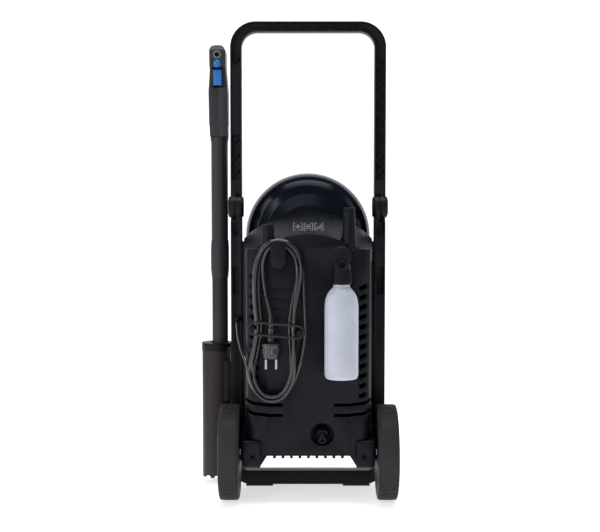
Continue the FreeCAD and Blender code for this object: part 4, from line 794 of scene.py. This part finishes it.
class WASHER_OT_shells(bpy.types.Operator):
    """Rear and front shells, the seals beside the rails and three plain raised signs on the shoulder, drawn
    lighter than the shell as painted highlight
    """
    bl_idname = "washer.shells"
    bl_label = "Body shells"

    SEAL_IN, SEAL_OUT = 126.6, 131.0
    SEAL_FRONT, SEAL_BACK, SEAL_LOW, SEAL_HIGH = -121, -97, 457, 491
    # a sign's frame and pitch, and its bars: a cross, three lines and a stepped row
    FRAME_HALF, LINE, PITCH, LEVEL, SQUASH, RISE = 8.6, 1.3, 20.0, 523, 0.75, 0.55
    SIGNS = (((-5, -1, 5, 1), (-1, -5, 1, 5)), ((-5, 3, 5, 4.6), (-5, -0.8, 5, 0.8), (-5, -4.6, 5, -3)),
             ((-5, -5, -3, 5), (-1, -5, 1, 2), (3, -5, 5, -1)))

    def execute(self, context):
        skinned(("rear_housing", "front_housing"), "shell", 0.7)

        def seals(bm):
            for left, right in ((-self.SEAL_OUT, -self.SEAL_IN), (self.SEAL_IN, self.SEAL_OUT)):
                block(bm, at(left, self.SEAL_FRONT, self.SEAL_LOW), at(right, self.SEAL_BACK, self.SEAL_HIGH))
        thing = piece("rail_seals", mesh_of("rail_seals", seals), finishes()["shell"], "trolley")
        shell = bpy.data.objects["rear_housing_skin"]
        tree = BVHTree.FromObject(shell, context.evaluated_depsgraph_get())
        half, line = self.FRAME_HALF, self.LINE

        def signs(bm):
            for number, glyph in enumerate(self.SIGNS):
                middle = (1 - number) * self.PITCH
                frame_bars = ((-half, -half, half, -half + line), (-half, half - line, half, half),
                              (-half, -half, -half + line, half), (half - line, -half, half, half))
                for x0, z0, x1, z1 in (*frame_bars, *glyph):
                    low, high = self.LEVEL + z0 * self.SQUASH, self.LEVEL + z1 * self.SQUASH
                    raised(bm, tree, middle + x0, low, middle + x1, high, self.RISE)
        # the signs' lighter grey finish is painted highlight on the embossed bars
        thing = piece("shoulder_signs", mesh_of("shoulder_signs", signs), finishes()["sign"], "trolley")
        return {"FINISHED"}


BEHIND_ALL, SUNK = 300, 0.8


def raised(bm, tree, x0, z0, x1, z1, height):
    """A low slab that follows the surface under its four corners and stands out of it."""
    front, back = [], []
    for x, z in ((x0, z0), (x1, z0), (x1, z1), (x0, z1)):
        start = at(x, BEHIND_ALL, z)
        hit = tree.ray_cast(start, -Y_AXIS)[0]
        if hit is None:
            raise RuntimeError("a sign lies off the shell")
        front.append(bm.verts.new(hit + Y_AXIS * height * MM))
        back.append(bm.verts.new(hit - Y_AXIS * SUNK * MM))
    bm.faces.new(front)
    bm.faces.new(back)
    for k in range(4):
        bm.faces.new((front[k], front[(k + 1) % 4], back[(k + 1) % 4], back[k]))


class WASHER_OT_tub(bpy.types.Operator):
    """Polished tub of the hose reel, its reel and its crank"""
    bl_idname = "washer.tub"
    bl_label = "Reel and tub"

    # the dome's outside, as radius and distance in front of the wheels' axle
    DOME = ((0, 88.2), (34, 88.9), (62, 91), (84, 94.8), (100, 100), (111, 107.5), (118.5, 117), (122.8, 129),
            (125, 143), (126, 160), (126, 206))
    DOME_WALL, DOME_LEVEL = 3.0, 501

    def execute(self, context):
        inside = [(max(0.0, radius - self.DOME_WALL), min(self.DOME[-1][1], back + self.DOME_WALL))
                  for radius, back in self.DOME]

        def dome(bm):
            profile = rounded(self.DOME, 12, 5) + inside[::-1]
            lathe(bm, at(0, 0, self.DOME_LEVEL), -Y_AXIS, [(r * MM, d * MM) for r, d in profile], 160)
        tub = piece("reel_tub_dome", smooth(mesh_of("reel_tub_dome", dome), 50), finishes()["tub"], "trolley",
                    "reel_tub")
        skinned(("reel_flange", "reel_drum"), "knob", 0.6)
        skinned(("reel_crank", "reel_knob", "power_switch"), "knob", 1.0)
        dress("reel_axle", "steel")
        return {"FINISHED"}


class WASHER_OT_fittings(bpy.types.Operator):
    """Pegs, spare nozzle, cord hook, gland and the water inlet"""
    bl_idname = "washer.fittings"
    bl_label = "Fittings"

    def execute(self, context):
        skinned(("accessory_pegs", "spare_nozzle", "cord_hook", "cord_gland"), "shell", 0.9)
        skinned(("water_inlet",), "knob", 0.5)
        skinned(("cord_strap",), "strap", 1.3)
        return {"FINISHED"}


class WASHER_OT_foam(bpy.types.Operator):
    """Foam bottle with its ribbed collar, drum and spray tip"""
    bl_idname = "washer.foam"
    bl_label = "Foam set"

    # radius and height of the bottle's outside, and the rounding of its corners
    BOTTLE = ((0, 249), (20, 249), (24, 246.5), (28.5, 246.5), (31, 253), (31, 376), (30.6, 384), (29.6, 391),
              (27.6, 398), (24.6, 404), (20.6, 409.5), (17, 413), (15.2, 415.5), (15, 418), (15, 430))
    BOTTLE_CORNERS = {1: 3, 2: 2, 3: 3, 4: 5, 5: 20, 6: 20, 7: 14, 8: 10, 9: 8, 10: 8, 11: 4, 12: 2, 13: 2}
    HEEL, HEEL_BLEND = 253, 5            # the wall leans over from upright to flat below the heel
    # outlines of the head, by radius: the drum and the snout point backward, and the collar stands
    DRUM_LEVEL, SNOUT_LEVEL = 472, 457
    DRUM_START = ((8.3, 58), (15.8, 58), (16.8, 59))
    DRUM_END = ((16.8, 102), (15.8, 103), (0, 103), (0, 72.5), (8.3, 72.5))
    DRUM_RADIUS, BAND_RADIUS, BAND_STARTS = 16.8, 17.9, (64, 73, 82, 91)
    COLLAR = ((15.4, 420), (17.4, 420), (18, 421), (16, 458), (0, 458), (0, 431.5), (15.4, 431.5))
    SNOUT = ((9.3, 104), (10.6, 104), (11, 103.4), (11, 86), (0, 86), (0, 94), (9.3, 94))
    RIDGES, RIDGE_LOW, RIDGE_HIGH, RIDGE_DRAFT = 26, (15.6, -0.9, 423), (18.7, 0.9, 446), 1.2

    def execute(self, context):
        wall = context.scene.washer_sizes.bottle_wall / MM
        centre = at(-60, 85, 0)

        def bottle(bm):
            outer = rounded(self.BOTTLE, self.BOTTLE_CORNERS, 4)
            inner = [(max(0, r - wall), z + wall * max(0.0, min(1.0, (self.HEEL - z) / self.HEEL_BLEND)))
                     for r, z in outer]
            inner[0] = (0, outer[0][1] + wall)
            lathe(bm, centre, Z_AXIS, [(r * MM, z * MM) for r, z in outer + inner[::-1]])
        thing = piece("foam_bottle_body", smooth(mesh_of("foam_bottle_body", bottle), 60), bottle_finish(),
                      "bottle", "foam_bottle")
        drum = list(self.DRUM_START)
        for start in self.BAND_STARTS:
            drum += [(self.DRUM_RADIUS, start), (self.BAND_RADIUS, start + 0.6),
                     (self.BAND_RADIUS, start + 3.4), (self.DRUM_RADIUS, start + 4)]
        drum += self.DRUM_END

        def head(bm):
            for start, axis, profile in ((at(-60, 0, self.DRUM_LEVEL), Y_AXIS, drum),
                                         (centre, Z_AXIS, self.COLLAR),
                                         (at(-60, 0, self.SNOUT_LEVEL), Y_AXIS, self.SNOUT)):
                lathe(bm, start, axis, [(r * MM, d * MM) for r, d in profile], 72)
        thing = piece("foam_head_body", smooth(mesh_of("foam_head_body", head), 40), finishes()["shell"],
                      "foam", "foam_head")
        skinned(("foam_nozzle",), "shell", 0.6)

        def ridge(bm):
            low, high = Vector(self.RIDGE_LOW) * MM, Vector(self.RIDGE_HIGH) * MM
            block(bm, low, high)
            for vertex in bm.verts:
                if vertex.co.z > 0.5 * (low.z + high.z):
                    vertex.co.x -= self.RIDGE_DRAFT * MM
        ridges = grown("collar_ridges", ring_tree(), mesh_of("ridge", ridge), finishes()["shell"],
                       Matrix.Translation(centre), Count=self.RIDGES)
        thing = piece("foam_collar_ridges", outward(ridges), finishes()["shell"], "foam")
        return {"FINISHED"}


class WASHER_OT_lance(bpy.types.Operator):
    """Lance in its holder, with the gun, its trigger and its lock"""
    bl_idname = "washer.lance"
    bl_label = "Lance"

    ARM_FRONT = -109                     # the holder's faces behind this are its arm's, and the rest its tube's

    def execute(self, context):
        skinned(("lance_holder",), "holder", 1.0)
        holder = bpy.data.objects["lance_holder_skin"].data
        holder.materials.append(finishes()["trolley"])
        arm_front = at(0, self.ARM_FRONT, 0).y
        for face in holder.polygons:
            face.material_index = int(face.center.y > arm_front)
        skinned(("holder_collar",), "trolley", 0.8)
        skinned(("lance_tip", "lance_lower", "lance_sleeve", "lance_tube"), "lance", 0.8)
        skinned(("gun_shell_left", "gun_shell_right"), "lance", 1.0)
        skinned(("gun_inlet",), "inner", 0.8)
        skinned(("gun_trigger", "trigger_lock"), "trigger", 0.9)
        dress("gun_valve", "brass")
        dress("trigger_spring", "steel")
        return {"FINISHED"}


class WASHER_OT_inside(bpy.types.Operator):
    """Finishes of the motor, the pump and the electrics inside the shells"""
    bl_idname = "washer.inside"
    bl_label = "Inside"

    FINISH_OF = {"motor_can": "enamel", "motor_rotor": "steel", "motor_bearings": "steel",
                 "cooling_fan": "inner", "wobble_plate": "steel", "pump_head": "alloy", "pistons": "steel",
                 "piston_springs": "steel", "outlet_pipe": "alloy", "electronics_box": "inner"}

    def execute(self, context):
        for node, finish_name in self.FINISH_OF.items():
            dress(node, finish_name)
        return {"FINISHED"}


class WASHER_OT_stage(bpy.types.Operator):
    """Pale floor with a swept back, soft lights and the camera"""
    bl_idname = "washer.stage"
    bl_label = "Stage"

    # the floor, in metres: its two ends, half its width, the back's height and the sweep between them
    NEAR_END, FAR_END, HALF, HIGH, BEND = 6.0, -4.0, 7.0, 6.0, 1.5
    BEND_STEPS = 12
    FLOOR_GLOW, AIR_GLOW = 0.62, 0.26
    LIGHTS = (("overhead", (0, 300, 2600), (2.0, 0.7), 34), ("left_strip", (2000, 900, 1100), (0.3, 2.2), 13),
              ("right_strip", (-2000, 700, 1100), (0.2, 2.2), 4),
              ("near_strip", (1500, 2500, 1000), (0.12, 2.2), 12),
              ("front_fill", (300, 3000, 1600), (1.2, 0.8), 5))
    AIM = (0, 0, 480)
    EYE, TILT, LENS = (15.9, 2200, 585), 86.44, 69.6

    def execute(self, context):
        self.floor(context)
        self.lights(context)
        self.camera(context)
        context.scene.view_settings.view_transform = "Standard"
        return {"FINISHED"}

    def floor(self, context):
        def sweep(bm):
            start, bend = self.FAR_END + self.BEND, self.BEND
            line = [(self.NEAR_END, 0.0), (start, 0.0)]
            for step in range(1, self.BEND_STEPS + 1):
                angle = 0.25 * TURN * step / self.BEND_STEPS
                line.append((start - bend * math.sin(angle), bend - bend * math.cos(angle)))
            line.append((self.FAR_END, self.HIGH))
            rows = [[bm.verts.new((x, y, z)) for x in (-self.HALF, self.HALF)] for y, z in line]
            for low, high_row in zip(rows, rows[1:]):
                bm.faces.new((low[0], low[1], high_row[1], high_row[0]))
        mesh = mesh_of("studio_floor", sweep)
        if mesh.polygons[0].normal.z < 0:
            mesh.flip_normals()
        mesh.shade_smooth()
        floor = bpy.data.objects.new("studio_floor", mesh)
        context.scene.collection.objects.link(floor)
        material = bpy.data.materials.new("studio_floor")
        material.use_nodes = True
        nodes, links = material.node_tree.nodes, material.node_tree.links
        shader = nodes["Principled BSDF"]
        shader.inputs["Roughness"].default_value = 0.7
        shader.inputs["Specular IOR Level"].default_value = 0.1
        place, noise = nodes.new("ShaderNodeTexCoord"), nodes.new("ShaderNodeTexNoise")
        shade = nodes.new("ShaderNodeMix")
        shade.data_type = "RGBA"
        shade.inputs["A"].default_value = (0.86, 0.86, 0.86, 1)
        shade.inputs["B"].default_value = (0.90, 0.90, 0.90, 1)
        noise.inputs["Scale"].default_value = 1.5
        links.new(place.outputs["Object"], noise.inputs["Vector"])
        links.new(noise.outputs["Fac"], shade.inputs["Factor"])
        links.new(shade.outputs["Result"], shader.inputs["Base Color"])
        shader.inputs["Emission Color"].default_value = (1, 1, 1, 1)
        shader.inputs["Emission Strength"].default_value = self.FLOOR_GLOW
        mesh.materials.append(material)

    def lights(self, context):
        world = bpy.data.worlds.new("studio_air")
        context.scene.world = world
        world.use_nodes = True
        air = world.node_tree.nodes["Background"]
        air.inputs["Color"].default_value = (0.86, 0.94, 1.14, 1)
        air.inputs["Strength"].default_value = self.AIR_GLOW
        aim = at(*self.AIM)
        for name, place, size, power in self.LIGHTS:
            light = bpy.data.lights.new(name, "AREA")
            light.shape = "RECTANGLE"
            light.size, light.size_y = size
            light.energy = power
            lamp = bpy.data.objects.new(name, light)
            lamp.location = at(*place)
            lamp.rotation_euler = (aim - lamp.location).to_track_quat("-Z", "Y").to_euler()
            context.scene.collection.objects.link(lamp)

    def camera(self, context):
        data = bpy.data.cameras.new("viewpoint")
        data.sensor_width = 36
        data.lens = self.LENS
        camera = bpy.data.objects.new("viewpoint", data)
        camera.location = at(*self.EYE)
        camera.rotation_euler = (math.radians(self.TILT), 0, math.pi)
        context.scene.collection.objects.link(camera)
        context.scene.camera = camera


class WASHER_PT_panel(bpy.types.Panel):
    """Lists the operators and the settings of the machine"""
    bl_idname = "WASHER_PT_panel"
    bl_label = "Pressure washer"
    bl_space_type = "VIEW_3D"
    bl_region_type = "UI"
    bl_category = "Washer"

    def draw(self, context):
        for group in (context.scene.washer_colours, context.scene.washer_sizes):
            for name in group.__annotations__:
                self.layout.prop(group, name)
        for operator in OPERATORS:
            self.layout.operator(operator.bl_idname)


OPERATORS = (WASHER_OT_stage, WASHER_OT_plug, WASHER_OT_cord, WASHER_OT_trolley, WASHER_OT_wheels,
             WASHER_OT_handle, WASHER_OT_shells, WASHER_OT_tub, WASHER_OT_fittings, WASHER_OT_foam,
             WASHER_OT_lance, WASHER_OT_inside)
CLASSES = (WasherColours, WasherSizes, *OPERATORS, WASHER_PT_panel)


def register():
    for each in CLASSES:
        bpy.utils.register_class(each)
    bpy.types.Scene.washer_colours = PointerProperty(type=WasherColours)
    bpy.types.Scene.washer_sizes = PointerProperty(type=WasherSizes)


def unregister():
    del bpy.types.Scene.washer_colours, bpy.types.Scene.washer_sizes
    for each in reversed(CLASSES):
        bpy.utils.unregister_class(each)


def main():
    register()
    for operator in OPERATORS:
        group, name = operator.bl_idname.split(".")
        getattr(getattr(bpy.ops, group), name)()


if __name__ == "__main__":
    main()
